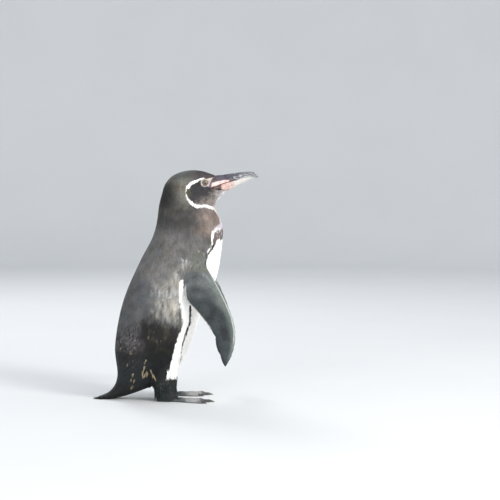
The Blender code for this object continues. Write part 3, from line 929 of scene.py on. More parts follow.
def coat_colour(places, share):
    """The plumage's colour at these places; share says how much each belongs to flipper, leg and tail."""
    mottled = patches(places, 2.6, 32)
    colour = head_colour(places, dark_side_colour(places))
    colour = throat_colour(places, colour, mottled)
    colour = white_colour(places, colour, mottled)
    colour = flipper_root_colour(places, colour, share["flipper"])
    colour = horseshoe_colour(places, colour, share["leg"])
    below_hem = ease(40, 34, places[:, 2] + 3.5 * patches(places, 3.0, 6))
    colour = blend(colour, leg_tone(places), share["leg"] * below_hem)
    colour = blend(colour, flipper_tone(places), ease(0.2, 0.8, share["flipper"]))
    return blend(colour, tail_tone(places), ease(0.2, 0.8, share["tail"]))


def over_root(places, tone):
    """Adds olive-grey shoulder feathers that end over the flipper's root in a ragged edge."""
    x, _, z = places.T
    ragged = patches(places * (1, 1, 0.5), 3.2, 41)
    olive = shaded(filled(places, SHOULDER_OLIVE), 0.4 * ragged, 0.6, 1.5)
    return blend(tone, olive, ease(210, 216, z + 0.35 * np.maximum(x - 36, 0) + 5 * ragged))


def leg_tone(places):
    """Soaked leg feathers: black green with a few lighter mauve and olive tufts."""
    fine = patches(places, 2.6, 21)
    colour = blend(filled(places, LEG_DARK), LEG_MAUVE, 0.7 * ease(0.3, 0.55, fine))
    return blend(colour, LEG_OLIVE, 0.7 * ease(-0.3, -0.55, fine))


def tail_tone(places):
    """Black, and greyer towards the rump."""
    return blend(filled(places, TAIL_BLACK), RUMP_DARK, ease(-100, -60, places[:, 0]))


def hung_alike(places):
    """Folded places, with the left flipper's swing taken out."""
    turn = math.radians(LEFT_FLIPPER_BACK)
    at = fold(places) - SHOULDER
    swung = np.array(at)
    swung[:, 0] = at[:, 0] * math.cos(turn) - at[:, 2] * math.sin(turn)
    swung[:, 2] = at[:, 0] * math.sin(turn) + at[:, 2] * math.cos(turn)
    left = np.asarray(places)[:, 1:2] > 0
    return np.where(left, swung, at) + SHOULDER


def flipper_tone(places):
    """Slate outside and pale inside, with a white rim at the rear."""
    at = hung_alike(places)
    z = at[:, 2]
    fine = patches(places, 2.2, 22)
    to_front = distance_to(FLIPPER_FRONT, at)
    to_rear = distance_to(FLIPPER_REAR, at)
    across = (to_rear - to_front) / (to_rear + to_front)
    outer = outer_flipper_tone(at, to_front, across, fine, patches(places, 14.0, 23))
    inner = blend(filled(at, FLIPPER_UNDER), FLIPPER_SLATE, 0.85 * ease(0.35, 0.7, across + 0.3 * fine))
    inner = blend(inner, FLIPPER_SLATE, ease(127, 119, z + 2 * fine))
    tone = blend(outer, inner, ease(0.3, -0.5, edge_side(at)))
    rim = ease(1.7, 1.1, to_rear + 0.4 * fine) * ease(176, 160, z) * ease(112, 124, z)
    return blend(tone, WHITE, rim)


def outer_flipper_tone(at, to_front, across, fine, broad):
    """Slate with dark smudges, paler at the top, with a painted highlight along the front and a painted glint
    line running down it.
    """
    z = at[:, 2]
    down = ease(222, 190, z)
    tone = blend(filled(at, FLIPPER_SLATE), FLIPPER_TOP, ease(150, 205, z + 14 * broad + 16 * across))
    # Painted highlight over the front half of the flipper.
    tone = blend(tone, FLIPPER_EDGE_HIGHLIGHT, 0.85 * ease(0.25, 0.85, across) * down)
    dusk = np.minimum(distance_to(FLIPPER_DUSK_ABOVE, at), distance_to(FLIPPER_DUSK_BELOW, at))
    tone = blend(tone, FLIPPER_DARK, 0.75 * ease(9, 2, dusk + 3 * fine))
    tone = shaded(tone, 0.22 * fine + 0.35 * broad, 0.6, 1.5)
    fleck = ease(0.8, -0.8, distance_to(FLIPPER_FLECKS, at) + 3 * patches(at * (1, 1, 0.5), 2.6, 30))
    tone = over_root(at, blend(tone, FLIPPER_FLECK, 0.5 * fleck))
    # Painted glint: a bright thin line down the front of the flipper.
    glint = ease(1.7, 0.4, np.abs(to_front - 3.2 + 0.4 * fine)) * down * ease(88, 112, z)
    tone = blend(tone, FLIPPER_GLINT, 0.8 * glint)
    return blend(tone, FLIPPER_DARK, 0.8 * ease(1.9, 1.1, to_front + 0.3 * fine) * down)


def edge_side(at):
    """Positive on a flipper's outer face and negative on the face towards the body, in millimetres."""
    rows = np.array(FLIPPER_LINE, float)
    middle_y = np.interp(at[:, 2], rows[::-1, 2], rows[::-1, 1])
    return at[:, 1] - middle_y


# ---------------------------------------------------------------- skin
def part_of(node):
    """What a node's name starts with, without its side."""
    return node.split("_")[0]


def flesh_lookup():
    """A search tree over all flesh, with the part that each triangle belongs to."""
    corners, triangles, parts = [], [], []
    for node in FLESH:
        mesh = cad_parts[node].data
        base = len(corners)
        corners += [v.co.copy() for v in mesh.vertices]
        triangles += [[base + i for i in p.vertices] for p in mesh.polygons]
        parts += [part_of(node)] * len(mesh.polygons)
    return BVHTree.FromPolygons(corners, triangles), np.array(parts)


def parts_at(places, lookup):
    """Which part's flesh is nearest to each place."""
    tree, parts = lookup
    nearest = [tree.find_nearest(Vector(p))[2] for p in (places * MM).tolist()]
    return parts[nearest]


def soften(values, edges, rounds):
    """Averages values with their neighbours' along the mesh's edges."""
    values = np.array(values, float)
    flat = values.reshape(len(values), -1)
    count = np.bincount(edges.ravel(), minlength=len(flat))[:, None]
    for _ in range(rounds):
        total = np.zeros_like(flat)
        for column in range(flat.shape[1]):
            total[:, column] = np.bincount(edges[:, 0], flat[edges[:, 1], column], len(flat))
            total[:, column] += np.bincount(edges[:, 1], flat[edges[:, 0], column], len(flat))
        flat = 0.5 * flat + 0.5 * total / np.maximum(count, 1)
    return flat.reshape(values.shape)


def edges_of(mesh):
    return numbers_of(mesh.edges, "vertices", 2, int)


def lie_along(line, places):
    """The direction of a line of points, felt at each place."""
    rows = np.array(line, float)
    middles = (rows[1:] + rows[:-1]) / 2
    directions = settled(np.diff(rows, axis=0))
    gaps = np.linalg.norm(places[:, None] - middles[None], axis=2)
    gaps -= gaps.min(axis=1, keepdims=True)
    weights = np.exp(-((gaps / FLOW_REACH) ** 2))
    return settled(weights @ directions)


def flipper_lie(places):
    """Along the front edge at the front of a flipper, and along the rear edge at its rear."""
    to_front = distance_to(FLIPPER_FRONT, places)
    to_rear = distance_to(FLIPPER_REAR, places)
    share = (to_rear / (to_front + to_rear))[:, None]
    return settled(lie_along(FLIPPER_FRONT, places) * share + lie_along(FLIPPER_REAR, places) * (1 - share))


def lie_of(places, region):
    """Which way the plumage lies."""
    side = np.sign(places[:, 1:2]) * (0, 1, 0) + (1, 0, 1)
    folded = fold(places)
    lie = lie_along(SPINE, places)
    lie = np.where((region == "flipper")[:, None], flipper_lie(folded) * side, lie)
    return np.where((region == "leg")[:, None], lie_along(LEG_LINE, folded) * side, lie)


def shares_of(region, edges):
    """How much each point belongs to the limbs and the tail, fading across their roots."""
    return {part: soften(region == part, edges, SHARE_ROUNDS) for part in ("flipper", "leg", "tail")}


def make_skin():
    """One closed skin for all the flesh, sunk by the depth of the coat; returns what the coat has to know."""
    skin = copies_of(FLESH + EYES, "skin")
    apply_modifier(skin, "DISPLACE", strength=OVERLAP * MM, mid_level=0.0)
    remesh(skin, SKIN_VOXEL, SKIN_SMOOTHING)
    mesh = skin.data
    places = places_of(mesh)
    region = parts_at(places, flesh_lookup())
    edges = edges_of(mesh)
    depth = soften(np.array([COAT_DEPTH[part] for part in region]), edges, DEPTH_ROUNDS)
    depth = depth * (1 - 0.6 * ease(50, 62, places[:, 0]) * ease(325, 340, places[:, 2]))
    places = places - normals_of(mesh) * (depth + OVERLAP + NAKED_SINK * naked(places))[:, None]
    set_places(mesh, shape_sockets(places, **SKIN_SOCKET))
    unwrap(skin)
    write_tone(mesh, coat_colour(places_of(mesh), shares_of(region, edges)))
    dress(skin, "plumage", skin_material(), *FLESH)
    shade_smooth(skin)
    return skin_field(mesh, region, edges)


def unwrap(piece):
    angle = math.radians(UNWRAP_ANGLE)
    edit_whole(piece, bpy.ops.uv.smart_project, angle_limit=angle, island_margin=UNWRAP_MARGIN)
    piece.data.uv_layers[0].name = "OFBake"


# ---------------------------------------------------------------- coat
def skin_field(mesh, region, edges):
    """What the coat needs to know all over the skin."""
    mesh.calc_loop_triangles()
    places = places_of(mesh)
    normals = normals_of(mesh)
    unwrapped = numbers_of(mesh.uv_layers["OFBake"].uv, "vector", 2)
    lie = soften(lie_of(places, region), edges, LIE_ROUNDS)
    coarse = soften(np.array([PLUME[part] for part in region]), edges, COARSE_ROUNDS)
    faces = [tuple(face.vertices) for face in mesh.polygons]
    return SimpleNamespace(
        corners=numbers_of(mesh.loop_triangles, "vertices", 3, int),
        places=places,
        normals=normals,
        lie=settled(lie - normals * np.sum(lie * normals, axis=1)[:, None]),
        coarse=coarse * fineness(places),
        region=region,
        share=shares_of(region, edges),
        unwrapped=unwrapped[numbers_of(mesh.loop_triangles, "loops", 3, int)],
        face_unwrapped=unwrapped[numbers_of(mesh.polygons, "loop_start", 1, int)[:, 0]],
        tree=BVHTree.FromPolygons([Vector(p) for p in places.tolist()], faces),
    )


def fineness(places):
    """Feathers get smaller towards the bill, and round the shoulder."""
    x, _, z = places.T
    face = 0.28 * ease(36, 62, x) * ease(312, 330, z)
    shoulder = 0.2 * ease(5, 22, x) * ease(215, 225, z) * ease(292, 280, z)
    return (1 - face) * (1 - shoulder)


def scatter(field, rng):
    """Random roots all over the skin, thinned until they keep their distance."""
    a, b, c = (field.places[field.corners[:, i]] for i in range(3))
    area = np.linalg.norm(np.cross(b - a, c - a), axis=1) / 2
    spacing = PLUME_SPACING * field.coarse[field.corners].mean(axis=1)
    wanted = area / spacing**2
    triangle = rng.choice(len(area), int(wanted.sum() * CROWDING), p=wanted / wanted.sum())
    far = np.sqrt(rng.random(len(triangle)))
    turn = rng.random(len(triangle))
    shares = np.stack([1 - far, far * (1 - turn), far * turn], axis=1)
    keep = apart(weighed(shares, field.places[field.corners[triangle]]), spacing[triangle])
    return triangle[keep], shares[keep]


def apart(places, spacing):
    """Which of these places to keep so that none is closer to another than its spacing."""
    tree = KDTree(len(places))
    for number, place in enumerate(places.tolist()):
        tree.insert(place, number)
    tree.balance()
    alive = np.ones(len(places), bool)
    for number, place in enumerate(places.tolist()):
        if alive[number]:
            for _, other, _ in tree.find_range(place, spacing[number]):
                if other > number:
                    alive[other] = False
    return np.flatnonzero(alive)


def weighed(shares, values):
    """Values at places inside triangles, from those at the three corners."""
    return np.einsum("ni,nij->nj", shares, values)


def nearest_skin(field, places):
    """For each place the nearest point of the skin, the way it faces, its face and its distance."""
    found = [field.tree.find_nearest(Vector(p)) for p in places.tolist()]
    ground = np.array([tuple(hit[0]) for hit in found])
    facing = np.array([tuple(hit[1]) for hit in found])
    return ground, facing, [hit[2] for hit in found], np.array([hit[3] for hit in found])


def settle_on(field, places, lift, normals):
    """Moves places to this height over the nearest skin, or leaves those that hang past its end."""
    ground, facing, _, gap = nearest_skin(field, places)
    free = ((gap > LOOSE_END) | (np.sum(facing * normals, axis=1) < 0.2))[:, None]
    ground = np.where(free, places, ground)
    facing = np.where(free, normals, facing)
    return ground + facing * lift[:, None], facing


def vane_faces():
    """Corner numbers of one closed vane: ridged above, flat below."""
    faces = [(0, 1, 2)]
    for row in range(len(VANE_ROWS) - 1):
        left, shaft, right = 3 * row, 3 * row + 1, 3 * row + 2
        faces += [(left, left + 3, shaft + 3, shaft), (shaft, shaft + 3, right + 3, right)]
        faces.append((left, right, right + 3, left + 3))
    left = VANE_TIP - 3
    return faces + [(left, VANE_TIP, left + 1), (left + 1, VANE_TIP, left + 2), (left, left + 2, VANE_TIP)]


def vane_places(root, middle, tip, normals, half_width, ridge):
    """The corners of each vane, bent through root, middle and tip."""
    pull = 2 * middle - (root + tip) / 2
    side = settled(np.cross(normals, tip - root))
    corners = []
    for share, wide in VANE_ROWS:
        at = (1 - share) ** 2 * root + 2 * share * (1 - share) * pull + share**2 * tip
        out = side * (half_width * wide)[:, None] - normals * PLUME_DROOP * wide
        other = -side * (half_width * wide)[:, None] - normals * PLUME_DROOP * wide
        corners += [at + out, at + normals * ridge[:, None] * (1 - 0.6 * share), at + other]
    corners.append(tip)
    return np.stack(corners, axis=1)


def vane_shapes(name, corners):
    """One mesh from many vanes' corners, and the corner that each of its loops goes through."""
    count, each = corners.shape[:2]
    mesh = bpy.data.meshes.new(name)
    mesh.vertices.add(count * each)
    mesh.vertices.foreach_set("co", (corners * MM).ravel())
    faces = vane_faces()
    sizes = np.array([len(face) for face in faces])
    pattern = np.concatenate([np.array(face) for face in faces])
    number = np.arange(count)[:, None]
    loops = (pattern[None] + each * number).ravel()
    starts = (np.cumsum(sizes)[None] - sizes + sizes.sum() * number).ravel()
    mesh.loops.add(len(loops))
    mesh.loops.foreach_set("vertex_index", loops)
    mesh.polygons.add(len(starts))
    mesh.polygons.foreach_set("loop_start", starts)
    mesh.polygons.foreach_set("use_smooth", np.ones(len(starts), bool))
    mesh.update(calc_edges=True)
    mesh.validate()
    return mesh, loops


def vane_mesh(name, corners, tones, wet, patch):
    """One mesh from many vanes, with what their material asks for and a small patch of the map for each."""
    count, each = corners.shape[:2]
    mesh, loops = vane_shapes(name, corners)
    along = np.array([share for share, _ in VANE_ROWS for _ in range(3)] + [1.0])
    across = np.array([1.0, 0.0, 1.0] * len(VANE_ROWS) + [0.0])
    spot = np.stack([np.array([0.0, 0.5, 1.0] * len(VANE_ROWS) + [0.5]), along], axis=1)
    unwrapped = patch[:, None] + (spot[None] - 0.5) * PATCH
    mesh.uv_layers.new(name="OFBake").uv.foreach_set("vector", unwrapped.reshape(-1, 2)[loops].ravel())
    write_tone(mesh, tones.reshape(-1, 3))
    write_value(mesh, "wet", np.repeat(wet, each))
    write_value(mesh, "along", np.tile(along, count))
    write_value(mesh, "across", np.tile(across, count))
    mesh.set_sharp_from_angle(angle=math.radians(70))
    return mesh


def feather_tones(places, share, rng):
    """Tones for a vane's corners: dark at the root, each vane a little different, the shaft paler."""
    colour = coat_colour(places, share)
    own = 1 + 0.085 * rng.standard_normal(len(places)) * np.where(colour[:, 0] > 0.4, 0.2, 1.0)
    colour = colour * np.clip(own, 0.65, 1.4)[:, None]
    shades = np.append(VANE_SHADES, 1.0)
    contrast = np.clip(1.25 - 2.2 * colour[:, :1], 0.1, 1)
    return colour[:, None] * (1 + (shades - 1) * contrast)[..., None]


def plume_roots(field, rng):
    """Where feathers grow: not on naked skin, under the bill's root or on the soles of the legs."""
    triangle, shares = scatter(field, rng)
    corner = field.corners[triangle]
    root = weighed(shares, field.places[corner])
    facing_down = settled(weighed(shares, field.normals[corner]))[:, 2] < -0.4
    leg_end = (field.region[corner[:, 0]] == "leg") & facing_down
    grows = (naked(root) < 0.5) & ~bill_root(root) & ~leg_end
    return triangle[grows], shares[grows]


def plumes_at(field, triangle, shares):
    """What has to be known of each feather: its root, how the skin lies there and what part it is on."""
    corner = field.corners[triangle]
    root = weighed(shares, field.places[corner])
    part = field.region[corner[:, 0]]
    hung = hung_alike(root)
    to_edge = np.minimum(distance_to(FLIPPER_FRONT, hung), distance_to(FLIPPER_REAR, hung))
    share = {key: np.sum(shares * values[corner], axis=1) for key, values in field.share.items()}
    white = under_side(root)
    hem = ease(56, 46, root[:, 2]) * ease(30, 38, root[:, 2]) * (white > 0.5)
    return SimpleNamespace(
        root=root,
        normal=settled(weighed(shares, field.normals[corner])),
        lie=settled(weighed(shares, field.lie[corner])),
        coarse=np.sum(shares * field.coarse[corner], axis=1),
        patch=weighed(shares, field.unwrapped[triangle]),
        part=part,
        share=share,
        wet=wetness(root) * np.isin(part, ("trunk", "leg", "tail")),
        hem=hem,
        white=white * (1 - hem),
        cuff=share["leg"] * ease(26, 16, root[:, 2]),
        leg_end=(share["leg"] > 0.5) * ease(21, 13, root[:, 2]),
        flipper_edge=ease(2.2, 0.8, to_edge) * (part == "flipper"),
        flipper_tip=ease(74, 62, hung[:, 2]) * (part == "flipper"),
    )


def ruffled(plumes, rng):
    """Which way the feathers lie: a little astray, in clumps where wet, and hanging over the feet."""
    stray = np.where(plumes.part == "flipper", 0.03 * (1 - plumes.flipper_edge), 0.06) + 0.14 * plumes.wet
    clump = patches(plumes.root, 5.0, 20) * 0.4 * plumes.wet
    aside = stray * rng.standard_normal(len(stray)) + clump
    lie = settled(plumes.lie + np.cross(plumes.normal, plumes.lie) * aside[:, None])
    hang = plumes.leg_end[:, None]
    return settled(lie * (1 - hang) + (plumes.normal * (0.3, 0.3, 0) - (0, 0, 1)) * hang)


def lay_vanes(field, plumes, rng):
    """Corners of all the feathers, laid over the skin and kept above the floor."""
    count = len(plumes.root)
    lie = ruffled(plumes, rng)
    length = PLUME_LENGTH * plumes.coarse * rng.uniform(0.88, 1.12, count)
    ragged = plumes.hem * rng.uniform(0, 0.9, count)
    length = length * (1 + 0.25 * plumes.wet + ragged + 0.55 * plumes.cuff - 0.45 * plumes.flipper_tip)
    fluff = 1 + 0.6 * plumes.wet + 0.5 * plumes.hem - 0.25 * plumes.white
    lift = PLUME_LIFT * plumes.coarse * rng.uniform(0.82, 1.18, count) * fluff
    bend = np.cross(plumes.normal, lie) * (PLUME_BEND * length * rng.standard_normal(count))[:, None]
    along = lie * length[:, None]
    middle, _ = settle_on(field, plumes.root + along * 0.5 + bend, lift * MIDDLE_LIFT, plumes.normal)
    tip, tip_normals = settle_on(field, plumes.root + along, lift, plumes.normal)
    tip[:, 2] = np.maximum(tip[:, 2], TIP_OVER_FLOOR)
    slimness = 1 - 0.2 * plumes.wet - 0.35 * plumes.flipper_edge
    half = PLUME_HALF_WIDTH * plumes.coarse * rng.uniform(0.9, 1.1, count) * slimness
    seat = plumes.root - plumes.normal * (PLUME_SEAT * plumes.coarse)[:, None]
    facing = settled(plumes.normal + tip_normals)
    corners = vane_places(seat, middle, tip, facing, half, PLUME_RIDGE * plumes.coarse)
    corners[:, :, 2] = np.maximum(corners[:, :, 2], VANE_OVER_FLOOR)
    return corners


def make_coat(field):
    """Feathers all over the skin, in pieces that each cover one part of the bird."""
    rng = np.random.default_rng(SEED)
    plumes = plumes_at(field, *plume_roots(field, rng))
    corners = lay_vanes(field, plumes, rng)
    coloured_at = plumes.root + (corners[:, VANE_TIP] - plumes.root) * COLOURED_AT
    tones = feather_tones(coloured_at, plumes.share, rng)
    keep = (plumes.part != "flipper") | ~stands_off(field, corners)
    groups = coat_groups(plumes.root, plumes.part)
    material = plumage_material("dense_feathers", dry_roughness=0.6, barbs_across=9)
    for name in sorted(set(groups)):
        chosen = (groups == name) & keep
        mesh = vane_mesh(name, corners[chosen], tones[chosen], plumes.wet[chosen], plumes.patch[chosen])
        dress(add_object(name, mesh), "flipper_plumage" if "flipper" in name else "plumage", material)


def stands_off(field, corners):
    """Which vanes stand clear of the skin at their widest part or at their tip."""
    left, right, tip = (nearest_skin(field, corners[:, number])[3] for number in (3, 5, VANE_TIP))
    return (np.maximum(left, right) > SIDE_CLEARANCE) | (tip > TIP_CLEARANCE)


# Soaked, straw-coloured tufts over the rump: where each starts and ends, and how many strands it has.
TUFTS = (
    ((-47.5, 54, 73), (-50, 51, 62), 10),
    ((-49.8, 51.4, 62), (-53, 46, 48), 14),
    ((-52.5, 47, 50), (-54, 40, 36), 16),
    ((-49.3, 51.5, 61.9), (-55.3, 42.9, 41.3), 14),
    ((-47.2, 48.4, 51.7), (-46.1, 40.8, 37.7), 16),
    ((-50, 47, 48), (-50, 41, 38), 10),
    ((-41.5, 48.9, 54.5), (-38.5, 45, 46), 12),
    ((-39.2, 46, 48), (-35.7, 39.9, 38.2), 16),
    ((-38.5, 46.2, 48.2), (-32.5, 40.7, 29.6), 12),
    ((-68.6, 43.4, 49), (-71.5, 38, 40), 12),
    ((-71, 39, 41), (-74.1, 34.8, 31), 12),
    ((-66, 40, 38.5), (-69.5, 33, 28), 10),
    ((-70, 31, 27), (-75.5, 21, 17.5), 10),
    ((-88.2, 36.3, 91.6), (-91.9, 31.9, 82.1), 8),
    ((-72, 48.4, 85.7), (-74.6, 45.9, 75), 8),
    ((-68.6, 50.5, 94), (-65, 52, 86), 6),
    ((-79, 42.1, 63.9), (-80.1, 38.9, 55.7), 6),
)
STRAND_ROOT_LIFT = 0.2
STRAND_MIDDLE_LIFT = 1.0
STRAND_RIDGE = 0.1
STRAND_HALF_WIDTH = (0.13, 0.27)
STRAND_WET = 0.3


def strand_ends(rng):
    """Where every strand starts and ends, for the tufts of both sides."""
    starts, ends = [], []
    for side in (-1, 1):
        for start, end, strands in TUFTS:
            spread = rng.normal(0, 1, (strands, 3)) * rng.choice((0.35, 0.5, 1.8), (strands, 1))
            first = np.array(start) * (1, side, 1) + spread + rng.normal(0, 1.5, 3) * (side > 0)
            last = np.array(end) * (1, side, 1) + spread * 0.6 + rng.normal(0, 0.3, (strands, 3))
            slide = rng.uniform(0, 0.45, (strands, 1))
            starts.append(first + (last - first) * slide)
            ends.append(first + (last - first) * (slide + rng.uniform(0.35, 0.6, (strands, 1))))
    return np.concatenate(starts), np.concatenate(ends)


def make_tufts(field):
    """Long thin strands, in small tufts, over the dark rump of both sides."""
    rng = np.random.default_rng(SEED + 5)
    root, tip = strand_ends(rng)
    count = len(root)
    root, normals = settle_near(field, root, np.full(count, STRAND_ROOT_LIFT))
    bow = rng.normal(0, 0.3, (count, 3))
    middle, _ = settle_near(field, (root + tip) / 2 + bow, np.full(count, STRAND_MIDDLE_LIFT))
    tip, tip_normals = settle_near(field, tip, 0.8 + 0.7 * rng.random(count))
    half = rng.uniform(*STRAND_HALF_WIDTH, count)
    ridge = np.full(count, STRAND_RIDGE)
    corners = vane_places(root, middle, tip, settled(normals + tip_normals), half, ridge)
    tone = blend(filled(root, STRAW_DARK), STRAW, 0.85 * rng.random(count) ** 0.7)
    lighter = np.interp(np.arange(VANE_TIP + 1), (0, 4, VANE_TIP), (0.35, 0.9, 1.0))
    tones = tone[:, None] * lighter[:, None]
    patch = field.face_unwrapped[nearest_skin(field, root)[2]]
    mesh = vane_mesh("straw_tufts", corners, tones, np.full(count, STRAND_WET), patch)
    material = plumage_material("straw_strands", dry_roughness=0.5, barbs_across=5)
    dress(add_object("straw_tufts", mesh), "plumage", material)


def settle_near(field, places, lift):
    """Moves places to this height over the nearest skin."""
    ground, facing, _, _ = nearest_skin(field, places)
    return ground + facing * lift[:, None], facing


def coat_groups(root, part):
    """A piece's name for every feather, so that none holds too many."""
    _, y, z = root.T
    lower = np.where(z > MIDDLE_FROM, "coat_middle", "coat_belly")
    names = np.where(z > SHOULDERS_FROM, "coat_shoulders", lower)
    names = np.where(y > 0, np.char.add(names, "_left"), np.char.add(names, "_right")).astype("U40")
    names[part == "neck"] = "coat_neck"
    names[part == "head"] = "coat_head"
    names[part == "leg"] = "coat_legs"
    names[part == "tail"] = "coat_tail"
    names[(part == "flipper") & (y < 0)] = "coat_flipper_right"
    names[(part == "flipper") & (y > 0)] = "coat_flipper_left"
    return names


# ---------------------------------------------------------------- face
CORNEA_BULGE = 0.6
LID_RIM = 0.42  # radius of the ring that rims the lids
FACE_GROWTH = 0.35
FACE_VOXEL = 0.48
FACE_SMOOTHING = 18
FACE_SINK = 0.7  # of the patch where it shows, from its grown shape
FACE_HIDE = 1.7  # and further under the feathers
DRAWN_IN = 0.45  # of its edges towards the core
FACE_CORE = (50, 0, 350)
# Where the patch is cut from the head, behind and below.
FACE_REAR = (28, 0, 350)
FACE_FOOT = (40, 0, 334)
# Lower and upper limit of the naked skin before the eye: how far forward, and how high.
LORES_LOW = ((43, 348.6), (51, 348.6), (57, 345), (62, 343.6))
LORES_HIGH = ((43, 360.6), (52, 361.4), (59, 363.4), (62, 364))
# Lines on it: the crease before the eye, the dark line along the bill's root and the corner of the gape.
CREASE = ((50.8, 17.2, 349.5), (54.5, 13, 354), (58.4, 8, 362.4))
LORAL_LINE = ((60.3, 8, 363), (57.6, 11.5, 357), (55.4, 14.2, 351), (53.8, 15.4, 347.5))
GAPE_CORNER = ((56.5, 14, 346.4), (61, 12, 345.4), (68, 10, 344.6))


def side_name(side):
    """The side's word in the names of nodes and pieces: -1 is right and 1 is left."""
    return "right" if side < 0 else "left"


def box_of(node):
    """Lowest and highest corner of a node's box."""
    return tuple(np.array(corner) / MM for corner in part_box(node))


def eye_spot(side):
    """Middle of an eyeball, and the way it looks."""
    low, high = box_of(f"eye_{side_name(side)}")
    return (low + high) / 2, settled(np.array((0.08, side * 1.0, 0.02)))


def beside_eye(places):
    """Distance from the line along which the nearer eye looks."""
    at = fold(places)
    middle, out = eye_spot(1)
    away = at - middle
    return np.linalg.norm(away - (away @ out)[:, None] * out, axis=1)


def naked(places):
    """1 on the featherless skin round the eye and before it, fading to 0."""
    at = fold(places)
    x, y, z = at.T
    near_eye = ease(6.5, 5.7, beside_eye(at) + 0.5 * ease(349, 352, z) - 0.5) * (y > 6)
    low, high = edge_at(LORES_LOW, x), edge_at(LORES_HIGH, x)
    lores = ease(-0.5, 0.5, z - low) * ease(0.5, -0.5, z - high)
    lores = lores * ease(42, 44, x) * ease(68.5, 66.5, x)
    return np.maximum(near_eye, lores) * (z > 340)


def bill_root(places):
    """Whether the bill's root covers these places."""
    x, _, z = places.T
    return (x > 59.5) & (z > 344.5) & (z < 364)


def make_eye(side):
    """An eyeball with a bulging cornea; what the lids hide of it is a little smaller."""
    node = f"eye_{side_name(side)}"
    middle, out = eye_spot(side)
    deselect()
    bpy.ops.mesh.primitive_uv_sphere_add(segments=64, ring_count=48, radius=EYEBALL * MM)
    piece = bpy.context.active_object
    piece.name = node + "ball"
    places = places_of(piece.data)
    away = np.linalg.norm(places[:, :2], axis=1)
    ahead = places[:, 2] > 0
    hidden = np.where(ahead, ease(EYE_OPENING + 0.5, EYE_OPENING + 1.3, away), 1.0)
    places = places * (1 - 0.14 * hidden)[:, None]
    places[:, 2] += CORNEA_BULGE * ease(EYE_OPENING, 0.0, away) * ahead
    turn = np.array(Vector((0, 0, 1)).rotation_difference(Vector(out)).to_matrix())
    set_places(piece.data, places @ turn.T + middle)
    write_value(piece.data, "from_axis", np.where(ahead, away, EYEBALL))
    shade_smooth(piece)
    dress(piece, "eye", eye_material(), node)


def face_tone(places):
    """Naked skin: pink before the eye, cream over and behind it, dark against the bill, dark red at the gape,
    partly painted shadow.
    """
    x, _, z = places.T
    rough = patches(places, 2.2, 51)
    beside = beside_eye(places)
    by_loral = distance_to(LORAL_LINE, places) + 0.4 * rough
    by_gape = distance_to(GAPE_CORNER, places) + 0.4 * rough
    by_crease = distance_to(CREASE, places) + 0.3 * rough
    ring = ease(7.2, 6.2, beside) * ease(5.0, 5.6, beside)
    colour = blend(filled(places, FACE["grey"]), FACE["cream"], ease(44.5, 41.5, x))
    colour = blend(colour, FACE["brow"], ease(356.5, 358.5, z + rough) * ease(60, 52, x))
    colour = blend(colour, FACE["pink"], ease(50, 53, x) * ease(360, 356, z))
    colour = blend(colour, FACE["under the eye"], 0.6 * ease(350.5, 348, z + 0.6 * rough) * ease(54, 49, x))
    colour = blend(colour, FACE["round the eye"], 0.6 * ring * ease(352, 349, z))
    colour = blend(colour, FACE["crease"], 0.8 * ease(1.2, 0.4, by_crease))
    colour = blend(colour, FACE["lores"], 0.94 * ease(2.0, 1.1, by_loral))
    # Partly painted shadow at the corner of the mouth.
    colour = blend(colour, FACE["gape"], 0.92 * ease(2.8, 1.4, by_gape))
    colour = blend(colour, FACE["by the crown"], ease(362.6, 364.2, z + 0.4 * rough) * ease(54, 57, x))
    return blend(colour, FACE["rim"], 0.85 * ease(EYE_OPENING + 0.9, EYE_OPENING + 0.3, beside))


def make_face():
    """The naked skin between eye and bill, as a fine patch just over the main skin."""
    face = copies_of(("head",) + EYES, "face_skin")
    apply_modifier(face, "DISPLACE", strength=FACE_GROWTH * MM, mid_level=0.0)
    keep_beyond(face, FACE_REAR, (1, 0, 0))
    keep_beyond(face, FACE_FOOT, (0, 0, 1))
    remesh(face, FACE_VOXEL, FACE_SMOOTHING)
    mesh = face.data
    places = places_of(mesh)
    show = naked(places)
    places = places - normals_of(mesh) * (FACE_SINK + FACE_HIDE * (1 - show))[:, None]
    places = places + (FACE_CORE - places) * DRAWN_IN * behind_face(places_of(mesh))[:, None]
    set_places(mesh, shape_sockets(places, **FACE_SOCKET))
    places = places_of(mesh)
    set_places(mesh, places + normals_of(mesh) * (face_relief(places) * show)[:, None])
    write_tone(mesh, face_tone(places))
    shade_smooth(face)
    dress(face, "plumage", bare_skin_material("naked_face", roughness=0.45))


def behind_face(places):
    """1 at the patch's rear, foot and top, which are drawn in under the main skin."""
    x, _, z = places.T
    edge = np.maximum(ease(37, 32, x), ease(342, 338, z))
    return np.maximum(edge, ease(363.5, 365.5, z) * ease(52, 56, x))


def face_relief(places):
    """Heights of wrinkles round the eye, of the crease before it and of the ridge along the bill."""
    beside = beside_eye(places)
    wrinkles = 0.1 * np.sin(beside * 2 * math.pi / 0.95 + 2 * patches(places, 3.0, 53)) * ease(10, 6, beside)
    wrinkles = wrinkles * ease(EYE_OPENING, EYE_OPENING + 0.6, beside) + 0.1 * patches(places, 1.3, 52)
    groove = 0.4 * ease(1.3, 0.2, distance_to(CREASE, places))
    ridge = 0.12 * ease(1.4, 0.4, distance_to(LORAL_LINE, places))
    return wrinkles - groove + ridge


def keep_beyond(piece, place, direction):
    """Cuts a solid with a plane, keeps what lies beyond it and closes the cut."""
    at = tuple(value * MM for value in place)
    edit_whole(piece, bpy.ops.mesh.bisect, plane_co=at, plane_no=direction, use_fill=True, clear_inner=True)


